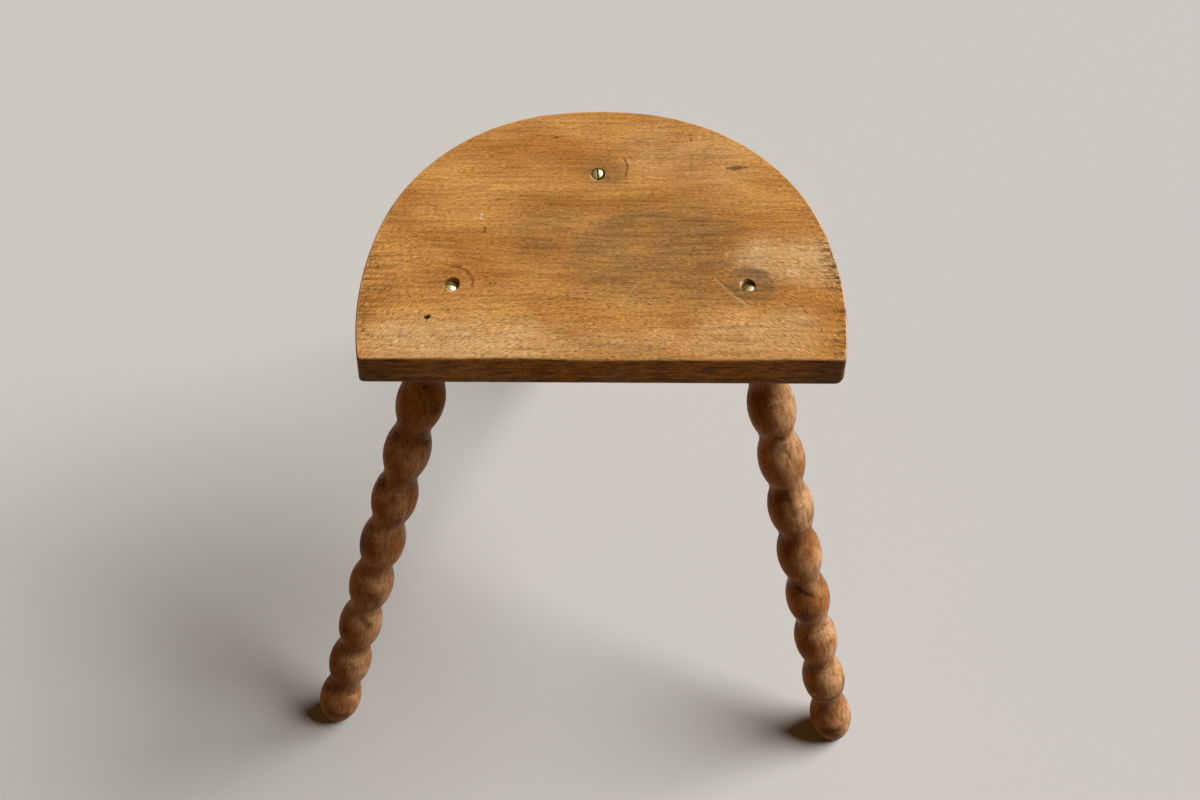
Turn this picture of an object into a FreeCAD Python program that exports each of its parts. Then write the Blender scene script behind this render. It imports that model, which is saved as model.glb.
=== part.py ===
import FreeCAD, Part
import math
import os

import Sketcher

# Tripod stool: a half-moon seat board on three splayed, bobbin-turned legs.
# Each leg has a round tenon in a slanted blind socket, and a brass wood screw
# driven from above, down the leg's axis, holds the seat to it.
#
# Frame: millimetres, +Z up, the seat's straight front edge towards -Y.
# Origin: on the floor, midway between the feet in X and in Y.

LEGS = ("front_left", "front_right", "back")

# Two places nearer than this count as one, in millimetres.
SAME_PLACE = 0.01

# Driving sizes: alias, value in millimetres, degrees or pieces, and meaning.
DRIVING_SIZES = (
    ("seat_height", 484, "floor to the top of the seat"),
    ("seat_thickness", 33, "thickness of the board"),
    ("seat_width", 345, "widest part of the board's top"),
    ("seat_depth", 217, "front edge to the back of the rim, on the top"),
    ("widest_line", 38, "front edge to the line where the board is widest"),
    ("side_arc_turn", 18.7, "turn of the rim's side arc past the widest line, degrees"),
    ("back_arc_turn", 18.6, "turn of the rim's arc at the back, degrees"),
    ("back_radius", 248, "arc of the rim at the back"),
    ("rim_lean", 4.5, "lean of the rim's wall, wider at the underside, degrees"),
    ("front_corner_round", 3, "round on the two upright front corners"),
    ("seat_edge_round", 1.5, "worn round along the top and bottom edges"),
    ("front_socket_spacing", 210, "between the front leg axes, on the seat's top"),
    ("front_socket_setback", 62, "front edge to the front leg axes, on the top"),
    ("front_socket_shift", -1, "middle of the front leg axes from the seat's middle, + to the right"),
    ("back_socket_setback", 58.5, "back of the rim to the back leg axis, on the top"),
    ("back_socket_shift", -3, "back leg axis from the seat's middle, + to the right"),
    ("splay", 23.4, "lean of each leg from upright, degrees"),
    ("front_left_bearing", 229.9, "way the leg leans, degrees from +X"),
    ("front_right_bearing", 302.7, "way the leg leans, degrees from +X"),
    ("back_bearing", 90, "way the leg leans, degrees from +X"),
    ("bead_count", 9, "turned beads on each leg"),
    ("bead_diameter", 37.2, "leg at the middle of a bead"),
    ("neck_diameter", 27.6, "leg between two beads"),
    ("neck_hollow_radius", 25, "hollow between two beads, along the leg"),
    ("foot_diameter", 20, "leg where its axis meets the floor"),
    ("tenon_diameter", 19, "round tenon on the leg's top end"),
    ("tenon_length", 18, "tenon, along the leg's axis"),
    ("tenon_chamfer", 1, "lead-in on the tenon's end"),
    ("tenon_clearance", 0.1, "gap round the tenon in its socket"),
    ("socket_end_gap", 0.5, "glue room past the tenon's end"),
    ("screw_length", 50, "head's face to the point"),
    ("screw_head_diameter", 8.4, "countersunk head"),
    ("screw_shank_diameter", 4.2, "plain shank below the head"),
    ("screw_shank_length", 17, "head's face to the start of the thread"),
    ("screw_thread_diameter", 3.6, "threaded length, drawn plain at its mean diameter"),
    ("screw_point_length", 5, "tapered point"),
    ("slot_width", 1.2, "driver slot"),
    ("slot_depth", 1.3, "driver slot"),
    ("front_left_slot_angle", 168, "way the slot runs, degrees from +X"),
    ("front_right_slot_angle", 28, "way the slot runs, degrees from +X"),
    ("back_slot_angle", 96, "way the slot runs, degrees from +X"),
    ("screw_clearance", 0.1, "gap round the screw in its holes"),
    ("head_edge_depth", 0.2, "seat's top to the nearest point of the head's edge, along the leg's axis"),
    ("head_side_gap", 1, "gap round the head in the bored hole above it"),
)

# Sizes worked out from the driving ones. The rim's side and shoulder arcs have the radii with which the
# two together reach, across and back, from the widest point to the end of the back arc.
WORKED_OUT_SIZES = (
    ("rim_across", "seat_width / 2 - back_radius * sin(back_arc_turn / 2)"),
    ("rim_back", "seat_depth - widest_line - back_radius * (1 - cos(back_arc_turn / 2))"),
    ("side_across", "1 - cos(side_arc_turn)"),
    ("side_back", "sin(side_arc_turn)"),
    ("shoulder_across", "cos(side_arc_turn) - sin(back_arc_turn / 2)"),
    ("shoulder_back", "cos(back_arc_turn / 2) - sin(side_arc_turn)"),
    ("rim_divisor", "shoulder_across * side_back - side_across * shoulder_back"),
    ("side_radius", "(shoulder_across * rim_back - rim_across * shoulder_back) / rim_divisor"),
    ("shoulder_radius", "(rim_across * side_back - side_across * rim_back) / rim_divisor"),
    ("lean", "tan(splay)"),
    ("underside_height", "seat_height - seat_thickness"),
    ("leg_length", "underside_height / cos(splay)"),
    ("bead_pitch", "leg_length / bead_count"),
    ("bead_rise", "(bead_diameter - neck_diameter) / 2"),
    ("bead_arc_radius", "((bead_pitch / 2)^2 + bead_rise^2) / (2 * bead_rise) - neck_hollow_radius"),
    ("foot_rise", "(bead_diameter - foot_diameter) / 2"),
    ("foot_arc_radius", "((bead_pitch / 2)^2 + foot_rise^2) / (2 * foot_rise)"),
    ("foot_allowance", "foot_diameter / 2 * lean"),
    ("level_cut_diameter", "3 * bead_diameter"),
    ("socket_diameter", "tenon_diameter + 2 * tenon_clearance"),
    ("socket_depth", "tenon_length + socket_end_gap"),
    ("head_recess", "screw_head_diameter / 2 * lean + head_edge_depth"),
    ("head_height", "seat_thickness / cos(splay) - head_recess"),
    ("head_cone_height", "(screw_head_diameter - screw_shank_diameter) / 2"),
    ("shank_hole_radius", "screw_shank_diameter / 2 + screw_clearance"),
    ("thread_hole_radius", "screw_thread_diameter / 2 + screw_clearance"),
    ("head_hole_radius", "screw_head_diameter / 2 + screw_clearance"),
    ("bored_hole_radius", "screw_head_diameter / 2 + head_side_gap"),
    ("front_left_top_x", "front_socket_shift - front_socket_spacing / 2"),
    ("front_left_top_y", "front_socket_setback"),
    ("front_right_top_x", "front_socket_shift + front_socket_spacing / 2"),
    ("front_right_top_y", "front_socket_setback"),
    ("back_top_x", "back_socket_shift"),
    ("back_top_y", "seat_depth - back_socket_setback"),
    ("front_left_foot_x", "front_left_top_x + seat_height * lean * cos(front_left_bearing)"),
    ("front_left_foot_y", "front_left_top_y + seat_height * lean * sin(front_left_bearing)"),
    ("front_right_foot_x", "front_right_top_x + seat_height * lean * cos(front_right_bearing)"),
    ("front_right_foot_y", "front_right_top_y + seat_height * lean * sin(front_right_bearing)"),
    ("back_foot_y", "back_top_y + seat_height * lean * sin(back_bearing)"),
    ("middle_x", "(front_left_foot_x + front_right_foot_x) / 2"),
    ("middle_y", "(min(front_left_foot_y; front_right_foot_y) + back_foot_y) / 2"),
)


def make_sheet(doc):
    """Write the driving sizes as plain numbers and the others as formulas."""
    sheet = doc.addObject("Spreadsheet::Sheet", "sizes")
    row = 1
    for alias, value, meaning in DRIVING_SIZES:
        sheet.set(f"A{row}", alias)
        sheet.set(f"B{row}", str(value))
        sheet.set(f"C{row}", meaning)
        sheet.setAlias(f"B{row}", alias)
        row += 1
    for alias, formula in WORKED_OUT_SIZES:
        sheet.set(f"A{row}", alias)
        sheet.set(f"B{row}", "=" + formula)
        sheet.setAlias(f"B{row}", alias)
        row += 1
    doc.recompute()
    return sheet


def new_body(doc, name, place):
    """Make an empty sub-part whose place follows a formula."""
    body = doc.addObject("PartDesign::Body", name)
    body.Label = name
    body.setExpression("Placement", place)
    return body


def new_sketch(body, name, plane, offset=None):
    """Make a sketch on one of the body's own origin planes, moved by an offset formula."""
    sketch = body.newObject("Sketcher::SketchObject", name)
    support = next(f for f in body.Origin.OriginFeatures if f.Role == plane)
    sketch.AttachmentSupport = [(support, "")]
    sketch.MapMode = "FlatFace"
    if offset:
        sketch.setExpression("AttachmentOffset", offset)
    return sketch


def dimension(sketch, name, formula, kind, *where):
    """Add a named dimension to a sketch and bind it to the sheet."""
    value = float(sketch.evalExpression(formula))
    index = sketch.addConstraint(Sketcher.Constraint(kind, *where, value))
    sketch.renameConstraint(index, name)
    sketch.setExpression("Constraints." + name, formula)


def join(sketch, first, first_end, second, second_end):
    """Make two curve ends meet."""
    sketch.addConstraint(Sketcher.Constraint("Coincident", first, first_end, second, second_end))


def blend(sketch, first, first_end, second, second_end):
    """Make two curve ends meet with a common tangent."""
    sketch.addConstraint(Sketcher.Constraint("Tangent", first, first_end, second, second_end))


def arc(centre, radius, start, end):
    """Return an arc of a circle that runs counter-clockwise between two angles in degrees."""
    whole = Part.Circle(FreeCAD.Vector(*centre, 0), FreeCAD.Vector(0, 0, 1), radius)
    return Part.ArcOfCircle(whole, math.radians(start), math.radians(end))


def line(first, second):
    """Return a straight line between two points of a sketch."""
    return Part.LineSegment(FreeCAD.Vector(*first, 0), FreeCAD.Vector(*second, 0))


def polygon(sketch, corners):
    """Draw a closed outline whose corners are pairs of formulas."""
    points = [tuple(float(sketch.evalExpression(f)) for f in corner) for corner in corners]
    count = len(points)
    for i in range(count):
        sketch.addGeometry(line(points[i], points[(i + 1) % count]), False)
    for i in range(count):
        join(sketch, i, 2, (i + 1) % count, 1)
    for i, (across, along) in enumerate(corners):
        if across == "0":
            sketch.addConstraint(Sketcher.Constraint("PointOnObject", i, 1, -2))
        else:
            dimension(sketch, f"across_{i}", across, "DistanceX", -1, 1, i, 1)
        if along == "0":
            sketch.addConstraint(Sketcher.Constraint("PointOnObject", i, 1, -1))
        else:
            dimension(sketch, f"along_{i}", along, "DistanceY", -1, 1, i, 1)


def circle(sketch, diameter):
    """Draw a circle about the sketch's origin."""
    start = float(sketch.evalExpression(diameter))
    centre = FreeCAD.Vector(0, 0, 0)
    sketch.addGeometry(Part.Circle(centre, FreeCAD.Vector(0, 0, 1), start / 2), False)
    join(sketch, 0, 3, -1, 1)
    dimension(sketch, "diameter", diameter, "Diameter", 0)


def turn(body, kind, name, sketch):
    """Turn a sketch right round its own vertical axis, to add or to cut."""
    feature = body.newObject("PartDesign::" + kind, name)
    feature.Profile = sketch
    feature.ReferenceAxis = (sketch, ["V_Axis"])
    feature.Angle = 360
    return feature


def cut_away(body, name, sketch, upwards):
    """Cut everything above or below a sketch's plane, within its outline."""
    pocket = body.newObject("PartDesign::Pocket", name)
    pocket.Profile = sketch
    pocket.Type = "ThroughAll"
    pocket.Reversed = upwards
    return pocket


def edges_where(shape, test):
    """Name the edges of a shape that pass a test."""
    return [f"Edge{i}" for i, edge in enumerate(shape.Edges, 1) if test(edge)]


def faces_where(shape, test):
    """Name the faces of a shape that pass a test."""
    return [f"Face{i}" for i, face in enumerate(shape.Faces, 1) if test(face)]


def is_level(edge):
    """Tell whether an edge lies at one height."""
    return edge.BoundBox.ZLength < SAME_PLACE


def in_front_plane(edge):
    """Tell whether one of the seat's edges lies in the plane of its front face."""
    return edge.BoundBox.YMax < SAME_PLACE


def leg_axis(leg):
    """Formulas of where a leg's axis meets the seat's underside, in the seat's own frame, and its turn."""
    reach = "sizes.seat_thickness * sizes.lean"
    x = f"sizes.{leg}_top_x + {reach} * cos(sizes.{leg}_bearing)"
    y = f"sizes.{leg}_top_y + {reach} * sin(sizes.{leg}_bearing)"
    turned = f"rotationz(sizes.{leg}_bearing) * rotationy(-sizes.splay)"
    return x, y, turned


def leg_frame(leg):
    """Formula of a leg's placement: its axis at the seat's underside, with +Z up along the axis."""
    x, y, turned = leg_axis(leg)
    return f"placement(vector({x} - sizes.middle_x; {y} - sizes.middle_y; sizes.underside_height); {turned})"


def seat_outline(sketch, sizes):
    """Draw the board's outline: a straight front edge and five arcs that blend into each other."""
    side_middle = (sizes.seat_width / 2 - sizes.side_radius, sizes.widest_line)
    back_middle = (0, sizes.seat_depth - sizes.back_radius)
    front_angle = -math.degrees(math.asin(sizes.widest_line / sizes.side_radius))
    corner = side_middle[0] + sizes.side_radius * math.cos(math.radians(front_angle))
    shoulder_start = sizes.side_arc_turn
    shoulder_end = 90 - sizes.back_arc_turn / 2
    apart = sizes.side_radius - sizes.shoulder_radius
    shoulder_middle = (
        side_middle[0] + apart * math.cos(math.radians(shoulder_start)),
        side_middle[1] + apart * math.sin(math.radians(shoulder_start)),
    )

    front, right_side, right_shoulder, back, left_shoulder, left_side = range(6)
    sketch.addGeometry(line((-corner, 0), (corner, 0)), False)
    sketch.addGeometry(arc(side_middle, sizes.side_radius, front_angle, shoulder_start), False)
    sketch.addGeometry(arc(shoulder_middle, sizes.shoulder_radius, shoulder_start, shoulder_end), False)
    sketch.addGeometry(arc(back_middle, sizes.back_radius, shoulder_end, 180 - shoulder_end), False)
    mirrored = (-shoulder_middle[0], shoulder_middle[1])
    sketch.addGeometry(arc(mirrored, sizes.shoulder_radius, 180 - shoulder_end, 180 - shoulder_start), False)
    mirrored = (-side_middle[0], side_middle[1])
    sketch.addGeometry(arc(mirrored, sizes.side_radius, 180 - shoulder_start, 180 - front_angle), False)

    join(sketch, front, 2, right_side, 1)
    join(sketch, left_side, 2, front, 1)
    for curve in (right_side, right_shoulder, back, left_shoulder):
        blend(sketch, curve, 2, curve + 1, 1)
    sketch.addConstraint(Sketcher.Constraint("PointOnObject", front, 1, -1))
    sketch.addConstraint(Sketcher.Constraint("PointOnObject", front, 2, -1))
    sketch.addConstraint(Sketcher.Constraint("PointOnObject", back, 3, -2))
    for side, shoulder, name, sign in (
        (right_side, right_shoulder, "right", "1"),
        (left_side, left_shoulder, "left", "-1"),
    ):
        inset = f"{sign} * (sizes.seat_width / 2 - sizes.side_radius)"
        dimension(sketch, name + "_side_radius", "sizes.side_radius", "Radius", side)
        dimension(sketch, name + "_shoulder_radius", "sizes.shoulder_radius", "Radius", shoulder)
        dimension(sketch, name + "_side_middle", inset, "DistanceX", -1, 1, side, 3)
        dimension(sketch, name + "_widest_line", "sizes.widest_line", "DistanceY", -1, 1, side, 3)
    dimension(sketch, "back_radius", "sizes.back_radius", "Radius", back)
    dimension(sketch, "back_middle", "sizes.seat_depth - sizes.back_radius", "DistanceY", -1, 1, back, 3)


def make_seat(doc, sizes):
    """Make the seat board, with a stepped hole down each leg's axis."""
    place = "placement(vector(-sizes.middle_x; -sizes.middle_y; sizes.underside_height); rotationz(0))"
    body = new_body(doc, "seat", place)

    top = "placement(vector(0; 0; sizes.seat_thickness); rotationz(0))"
    outline = new_sketch(body, "seat_outline", "XY_Plane", top)
    seat_outline(outline, sizes)
    board = body.newObject("PartDesign::Pad", "board")
    board.Profile = outline
    board.Reversed = True
    board.setExpression("Length", "sizes.seat_thickness")
    doc.recompute()

    rim = body.newObject("PartDesign::Draft", "rim")
    rim.Base = (board, faces_where(board.Shape, lambda f: f.Surface.TypeId == "Part::GeomCylinder"))
    top_height = sizes.seat_thickness - SAME_PLACE
    rim.NeutralPlane = (board, faces_where(board.Shape, lambda f: f.BoundBox.ZMin > top_height))
    rim.setExpression("Angle", "sizes.rim_lean")
    doc.recompute()

    corners = body.newObject("PartDesign::Fillet", "front_corners")
    corners.Base = (rim, edges_where(rim.Shape, lambda e: in_front_plane(e) and not is_level(e)))
    corners.setExpression("Radius", "sizes.front_corner_round")
    doc.recompute()

    worn = body.newObject("PartDesign::Fillet", "worn_edges")
    worn.Base = (corners, edges_where(corners.Shape, is_level))
    worn.setExpression("Radius", "sizes.seat_edge_round")
    doc.recompute()

    for leg in LEGS:
        x, y, turned = leg_axis(leg)
        plane = f"placement(vector({x}; {y}; 0); {turned} * rotationx(90))"
        profile = new_sketch(body, leg + "_hole_profile", "XY_Plane", plane)
        doc.recompute()
        mouth = "-sizes.socket_diameter * sizes.lean"
        cone_bottom = "sizes.head_height - sizes.head_cone_height"
        above = "sizes.seat_thickness / cos(sizes.splay) + 2 * sizes.bored_hole_radius * sizes.lean"
        polygon(profile, (
            ("0", mouth),
            ("sizes.socket_diameter / 2", mouth),
            ("sizes.socket_diameter / 2", "sizes.socket_depth"),
            ("sizes.shank_hole_radius", "sizes.socket_depth"),
            ("sizes.shank_hole_radius", cone_bottom),
            ("sizes.head_hole_radius", "sizes.head_height"),
            ("sizes.bored_hole_radius", "sizes.head_height"),
            ("sizes.bored_hole_radius", above),
            ("0", above),
        ))
        turn(body, "Groove", leg + "_hole", profile)
        doc.recompute()
    return body


def bead_profile(sketch, sizes):
    """Draw half of one bead, from neck to neck: a swelling arc between two halves of a hollow."""
    neck = sizes.neck_diameter / 2
    hollow = sizes.neck_hollow_radius
    swell = sizes.bead_arc_radius
    pitch = sizes.bead_pitch
    slope = math.degrees(math.asin(pitch / 2 / (hollow + swell)))

    top, upper_hollow, bead, lower_hollow, bottom, axis = range(6)
    sketch.addGeometry(line((0, 0), (neck, 0)), False)
    sketch.addGeometry(arc((neck + hollow, 0), hollow, 180, 180 + slope), False)
    sketch.addGeometry(arc((sizes.bead_diameter / 2 - swell, -pitch / 2), swell, -slope, slope), False)
    sketch.addGeometry(arc((neck + hollow, -pitch), hollow, 180 - slope, 180), False)
    sketch.addGeometry(line((neck, -pitch), (0, -pitch)), False)
    sketch.addGeometry(line((0, -pitch), (0, 0)), False)

    join(sketch, top, 1, -1, 1)
    join(sketch, top, 2, upper_hollow, 1)
    blend(sketch, upper_hollow, 2, bead, 2)
    blend(sketch, bead, 1, lower_hollow, 1)
    join(sketch, lower_hollow, 2, bottom, 1)
    join(sketch, bottom, 2, axis, 1)
    join(sketch, axis, 2, top, 1)
    sketch.addConstraint(Sketcher.Constraint("PointOnObject", top, 2, -1))
    sketch.addConstraint(Sketcher.Constraint("PointOnObject", upper_hollow, 3, -1))
    sketch.addConstraint(Sketcher.Constraint("PointOnObject", bottom, 2, -2))
    dimension(sketch, "neck", "sizes.neck_diameter / 2", "DistanceX", -1, 1, top, 2)
    dimension(sketch, "upper_hollow", "sizes.neck_hollow_radius", "Radius", upper_hollow)
    dimension(sketch, "lower_hollow", "sizes.neck_hollow_radius", "Radius", lower_hollow)
    dimension(sketch, "swell", "sizes.bead_arc_radius", "Radius", bead)
    dimension(sketch, "lower_hollow_middle", "-sizes.bead_pitch", "DistanceY", -1, 1, lower_hollow, 3)
    dimension(sketch, "bottom_height", "-sizes.bead_pitch", "DistanceY", -1, 1, bottom, 1)
    dimension(sketch, "axis_end_height", "-sizes.bead_pitch", "DistanceY", -1, 1, bottom, 2)


def foot_profile(sketch, sizes):
    """Draw half of the lowest bead, which rounds in to the foot and runs on below the floor."""
    neck = sizes.neck_diameter / 2
    hollow = sizes.neck_hollow_radius
    swell = sizes.bead_arc_radius
    round_in = sizes.foot_arc_radius
    bead = sizes.bead_diameter / 2
    half_pitch = sizes.bead_pitch / 2
    start = -sizes.leg_length + sizes.bead_pitch
    end = -sizes.leg_length - sizes.foot_allowance
    slope = math.degrees(math.asin(half_pitch / (hollow + swell)))
    foot_angle = math.degrees(math.asin((half_pitch + sizes.foot_allowance) / round_in))
    foot = bead - round_in + round_in * math.cos(math.radians(foot_angle))

    top, upper_hollow, upper_bead, rounded, bottom, axis = range(6)
    sketch.addGeometry(line((0, start), (neck, start)), False)
    sketch.addGeometry(arc((neck + hollow, start), hollow, 180, 180 + slope), False)
    sketch.addGeometry(arc((bead - swell, start - half_pitch), swell, 0, slope), False)
    sketch.addGeometry(arc((bead - round_in, start - half_pitch), round_in, -foot_angle, 0), False)
    sketch.addGeometry(line((foot, end), (0, end)), False)
    sketch.addGeometry(line((0, end), (0, start)), False)

    join(sketch, top, 2, upper_hollow, 1)
    blend(sketch, upper_hollow, 2, upper_bead, 2)
    blend(sketch, upper_bead, 1, rounded, 2)
    join(sketch, rounded, 1, bottom, 1)
    join(sketch, bottom, 2, axis, 1)
    join(sketch, axis, 2, top, 1)
    sketch.addConstraint(Sketcher.Constraint("PointOnObject", top, 1, -2))
    sketch.addConstraint(Sketcher.Constraint("PointOnObject", bottom, 2, -2))
    sketch.addConstraint(Sketcher.Constraint("Horizontal", top))
    sketch.addConstraint(Sketcher.Constraint("Horizontal", bottom))
    start_formula = "-sizes.leg_length + sizes.bead_pitch"
    middle_formula = "-sizes.leg_length + sizes.bead_pitch / 2"
    dimension(sketch, "start_height", start_formula, "DistanceY", -1, 1, top, 1)
    dimension(sketch, "neck", "sizes.neck_diameter / 2", "DistanceX", -1, 1, top, 2)
    dimension(sketch, "hollow", "sizes.neck_hollow_radius", "Radius", upper_hollow)
    dimension(sketch, "hollow_middle", start_formula, "DistanceY", -1, 1, upper_hollow, 3)
    dimension(sketch, "swell", "sizes.bead_arc_radius", "Radius", upper_bead)
    dimension(sketch, "rounded", "sizes.foot_arc_radius", "Radius", rounded)
    dimension(sketch, "rounded_middle", middle_formula, "DistanceY", -1, 1, rounded, 3)
    dimension(sketch, "end_height", "-sizes.leg_length - sizes.foot_allowance", "DistanceY", -1, 1, bottom, 2)


def make_leg(doc, sizes, leg):
    """Make one turned leg, cut level at the floor and at the seat's underside, with its tenon."""
    body = new_body(doc, "leg_" + leg, leg_frame(leg))

    neck_sketch = new_sketch(body, leg + "_neck_circle", "XY_Plane")
    circle(neck_sketch, "sizes.neck_diameter")
    neck = body.newObject("PartDesign::Pad", leg + "_top_neck")
    neck.Profile = neck_sketch
    neck.setExpression("Length", "sizes.neck_diameter * sizes.lean")
    doc.recompute()

    profile = new_sketch(body, leg + "_bead_profile", "XZ_Plane")
    bead_profile(profile, sizes)
    bead = turn(body, "Revolution", leg + "_bead", profile)
    doc.recompute()
    beads = body.newObject("PartDesign::LinearPattern", leg + "_beads")
    beads.Originals = [bead]
    beads.Direction = (profile, ["V_Axis"])
    beads.Reversed = True
    beads.setExpression("Length", "sizes.bead_pitch * (sizes.bead_count - 2)")
    beads.setExpression("Occurrences", "sizes.bead_count - 1")
    body.Tip = beads
    doc.recompute()

    profile = new_sketch(body, leg + "_foot_profile", "XZ_Plane")
    foot_profile(profile, sizes)
    turn(body, "Revolution", leg + "_foot", profile)
    doc.recompute()

    underside = "placement(vector(0; 0; 0); rotationy(sizes.splay))"
    shoulder_plane = new_sketch(body, leg + "_shoulder_plane", "XY_Plane", underside)
    circle(shoulder_plane, "sizes.level_cut_diameter")
    cut_away(body, leg + "_shoulder", shoulder_plane, True)
    floor = "placement(vector(0; 0; -sizes.leg_length); rotationy(sizes.splay))"
    floor_plane = new_sketch(body, leg + "_floor_plane", "XY_Plane", floor)
    circle(floor_plane, "sizes.level_cut_diameter")
    cut_away(body, leg + "_level_foot", floor_plane, False)
    doc.recompute()

    tenon_start = "placement(vector(0; 0; -sizes.bead_pitch / 2); rotationz(0))"
    tenon_sketch = new_sketch(body, leg + "_tenon_circle", "XY_Plane", tenon_start)
    circle(tenon_sketch, "sizes.tenon_diameter")
    tenon = body.newObject("PartDesign::Pad", leg + "_tenon")
    tenon.Profile = tenon_sketch
    tenon.setExpression("Length", "sizes.tenon_length + sizes.bead_pitch / 2")
    doc.recompute()
    end_height = sizes.tenon_length - SAME_PLACE
    chamfer = body.newObject("PartDesign::Chamfer", leg + "_tenon_lead_in")
    chamfer.Base = (tenon, edges_where(tenon.Shape, lambda e: e.BoundBox.ZMin > end_height))
    chamfer.setExpression("Size", "sizes.tenon_chamfer")
    doc.recompute()

    profile = new_sketch(body, leg + "_screw_hole_profile", "XZ_Plane")
    shank_end = "sizes.head_height - sizes.screw_shank_length - sizes.screw_clearance"
    tip = "sizes.head_height - sizes.screw_length - sizes.screw_clearance"
    polygon(profile, (
        ("0", "sizes.head_height"),
        ("sizes.shank_hole_radius", "sizes.head_height"),
        ("sizes.shank_hole_radius", shank_end),
        ("sizes.thread_hole_radius", shank_end),
        ("sizes.thread_hole_radius", tip),
        ("0", tip),
    ))
    turn(body, "Groove", leg + "_screw_hole", profile)
    doc.recompute()
    return body


def make_screw(doc, leg):
    """Make one slotted wood screw, its head's face on the body's own XY plane."""
    raised = "placement(vector(0; 0; sizes.head_height); rotationz(0))"
    body = new_body(doc, "screw_" + leg, f"{leg_frame(leg)} * {raised}")

    profile = new_sketch(body, leg + "_screw_profile", "XZ_Plane")
    point_start = "sizes.screw_point_length - sizes.screw_length"
    polygon(profile, (
        ("0", "0"),
        ("sizes.screw_head_diameter / 2", "0"),
        ("sizes.screw_shank_diameter / 2", "-sizes.head_cone_height"),
        ("sizes.screw_shank_diameter / 2", "-sizes.screw_shank_length"),
        ("sizes.screw_thread_diameter / 2", "-sizes.screw_shank_length"),
        ("sizes.screw_thread_diameter / 2", point_start),
        ("0", "-sizes.screw_length"),
    ))
    turn(body, "Revolution", leg + "_screw_blank", profile)
    doc.recompute()

    turned = f"placement(vector(0; 0; 0); rotationz(sizes.{leg}_slot_angle - sizes.{leg}_bearing))"
    slot_sketch = new_sketch(body, leg + "_slot_outline", "XY_Plane", turned)
    doc.recompute()
    far, near = "sizes.screw_head_diameter", "-sizes.screw_head_diameter"
    right, left = "sizes.slot_width / 2", "-sizes.slot_width / 2"
    polygon(slot_sketch, ((near, left), (far, left), (far, right), (near, right)))
    slot = body.newObject("PartDesign::Pocket", leg + "_slot")
    slot.Profile = slot_sketch
    slot.setExpression("Length", "sizes.slot_depth")
    doc.recompute()
    return body


def check(doc, sub_parts):
    """Stop if any object failed or any sub-part isn't one valid solid."""
    for item in doc.Objects:
        if "Invalid" in item.State or "Error" in item.State:
            raise RuntimeError(f"{item.Name} failed: {item.State}")
    for body in sub_parts:
        shape = body.Shape
        if shape.isNull() or not shape.isValid() or len(shape.Solids) != 1:
            raise RuntimeError(f"{body.Label} isn't one valid solid")


def check_cuts(body):
    """Stop if a cut took nothing away, and print what each one took."""
    for feature in body.Group:
        if feature.TypeId in ("PartDesign::Pocket", "PartDesign::Groove"):
            taken = feature.BaseFeature.Shape.Volume - feature.Shape.Volume
            print(f"  {feature.Name}: {taken:.1f} mm3 cut")
            if taken <= 0:
                raise RuntimeError(f"{feature.Name} cuts nothing")


def main():
    """Build the stool and write one file for each sub-part."""
    doc = FreeCAD.newDocument("tripod_stool")
    sizes = make_sheet(doc)
    sub_parts = [make_seat(doc, sizes)]
    for leg in LEGS:
        sub_parts.append(make_leg(doc, sizes, leg))
        sub_parts.append(make_screw(doc, leg))
    doc.recompute()
    check(doc, sub_parts)
    os.makedirs("parts", exist_ok=True)
    for body in sub_parts:
        print(f"{body.Label}: {body.Shape.Volume:.1f} mm3")
        check_cuts(body)
        body.Shape.exportStep(f"parts/{body.Label}.step")


main()
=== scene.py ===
"""Tripod stool: a worn half-moon seat on bobbin-turned legs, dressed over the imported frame."""

import logging
import math
from dataclasses import dataclass, field
from enum import Enum

import bmesh
import bpy
from mathutils import Matrix, Vector, noise


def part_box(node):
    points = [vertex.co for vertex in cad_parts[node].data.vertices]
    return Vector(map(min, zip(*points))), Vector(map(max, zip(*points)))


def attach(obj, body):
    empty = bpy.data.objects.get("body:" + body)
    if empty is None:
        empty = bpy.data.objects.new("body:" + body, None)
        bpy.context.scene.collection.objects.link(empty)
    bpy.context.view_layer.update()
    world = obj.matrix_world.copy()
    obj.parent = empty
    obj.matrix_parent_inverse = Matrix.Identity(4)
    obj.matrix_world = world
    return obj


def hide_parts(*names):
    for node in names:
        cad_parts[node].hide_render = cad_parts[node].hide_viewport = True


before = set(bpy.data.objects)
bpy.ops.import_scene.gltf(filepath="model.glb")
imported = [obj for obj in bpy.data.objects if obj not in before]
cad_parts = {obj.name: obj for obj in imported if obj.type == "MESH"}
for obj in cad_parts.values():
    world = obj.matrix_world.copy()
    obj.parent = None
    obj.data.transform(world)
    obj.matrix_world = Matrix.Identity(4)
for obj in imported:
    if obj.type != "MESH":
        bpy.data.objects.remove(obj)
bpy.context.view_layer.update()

MM = 0.001
BODY = "root"
FULL_TURN = 2 * math.pi
FLAT = 0.01 * MM
RAGGED = 1.8 * MM
SHARP_EDGE = math.radians(50)
SLOT_ANGLES = (168.0, 28.0, 96.0)
NOISE_SEED = 7
WAX = (1.0, 0.58, 0.15, 1.0)

BMesh = bmesh.types.BMesh
Vert = bmesh.types.BMVert
Edge = bmesh.types.BMEdge
Loop = list[Edge]
Material = bpy.types.Material
Node = bpy.types.Node
Outputs = bpy.types.bpy_prop_collection
Piece = bpy.types.Object
Socket = bpy.types.NodeSocket
Feed = Socket | float | tuple[float, ...]
Feeds = dict[str | int, Feed]
Colour = tuple[float, float, float]
Lip = tuple[float, float, float]

log = logging.getLogger("stool")


class Corner(Enum):
    """Which of the three legs a piece belongs to."""

    FRONT_LEFT = "front_left"
    FRONT_RIGHT = "front_right"
    BACK = "back"


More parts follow.
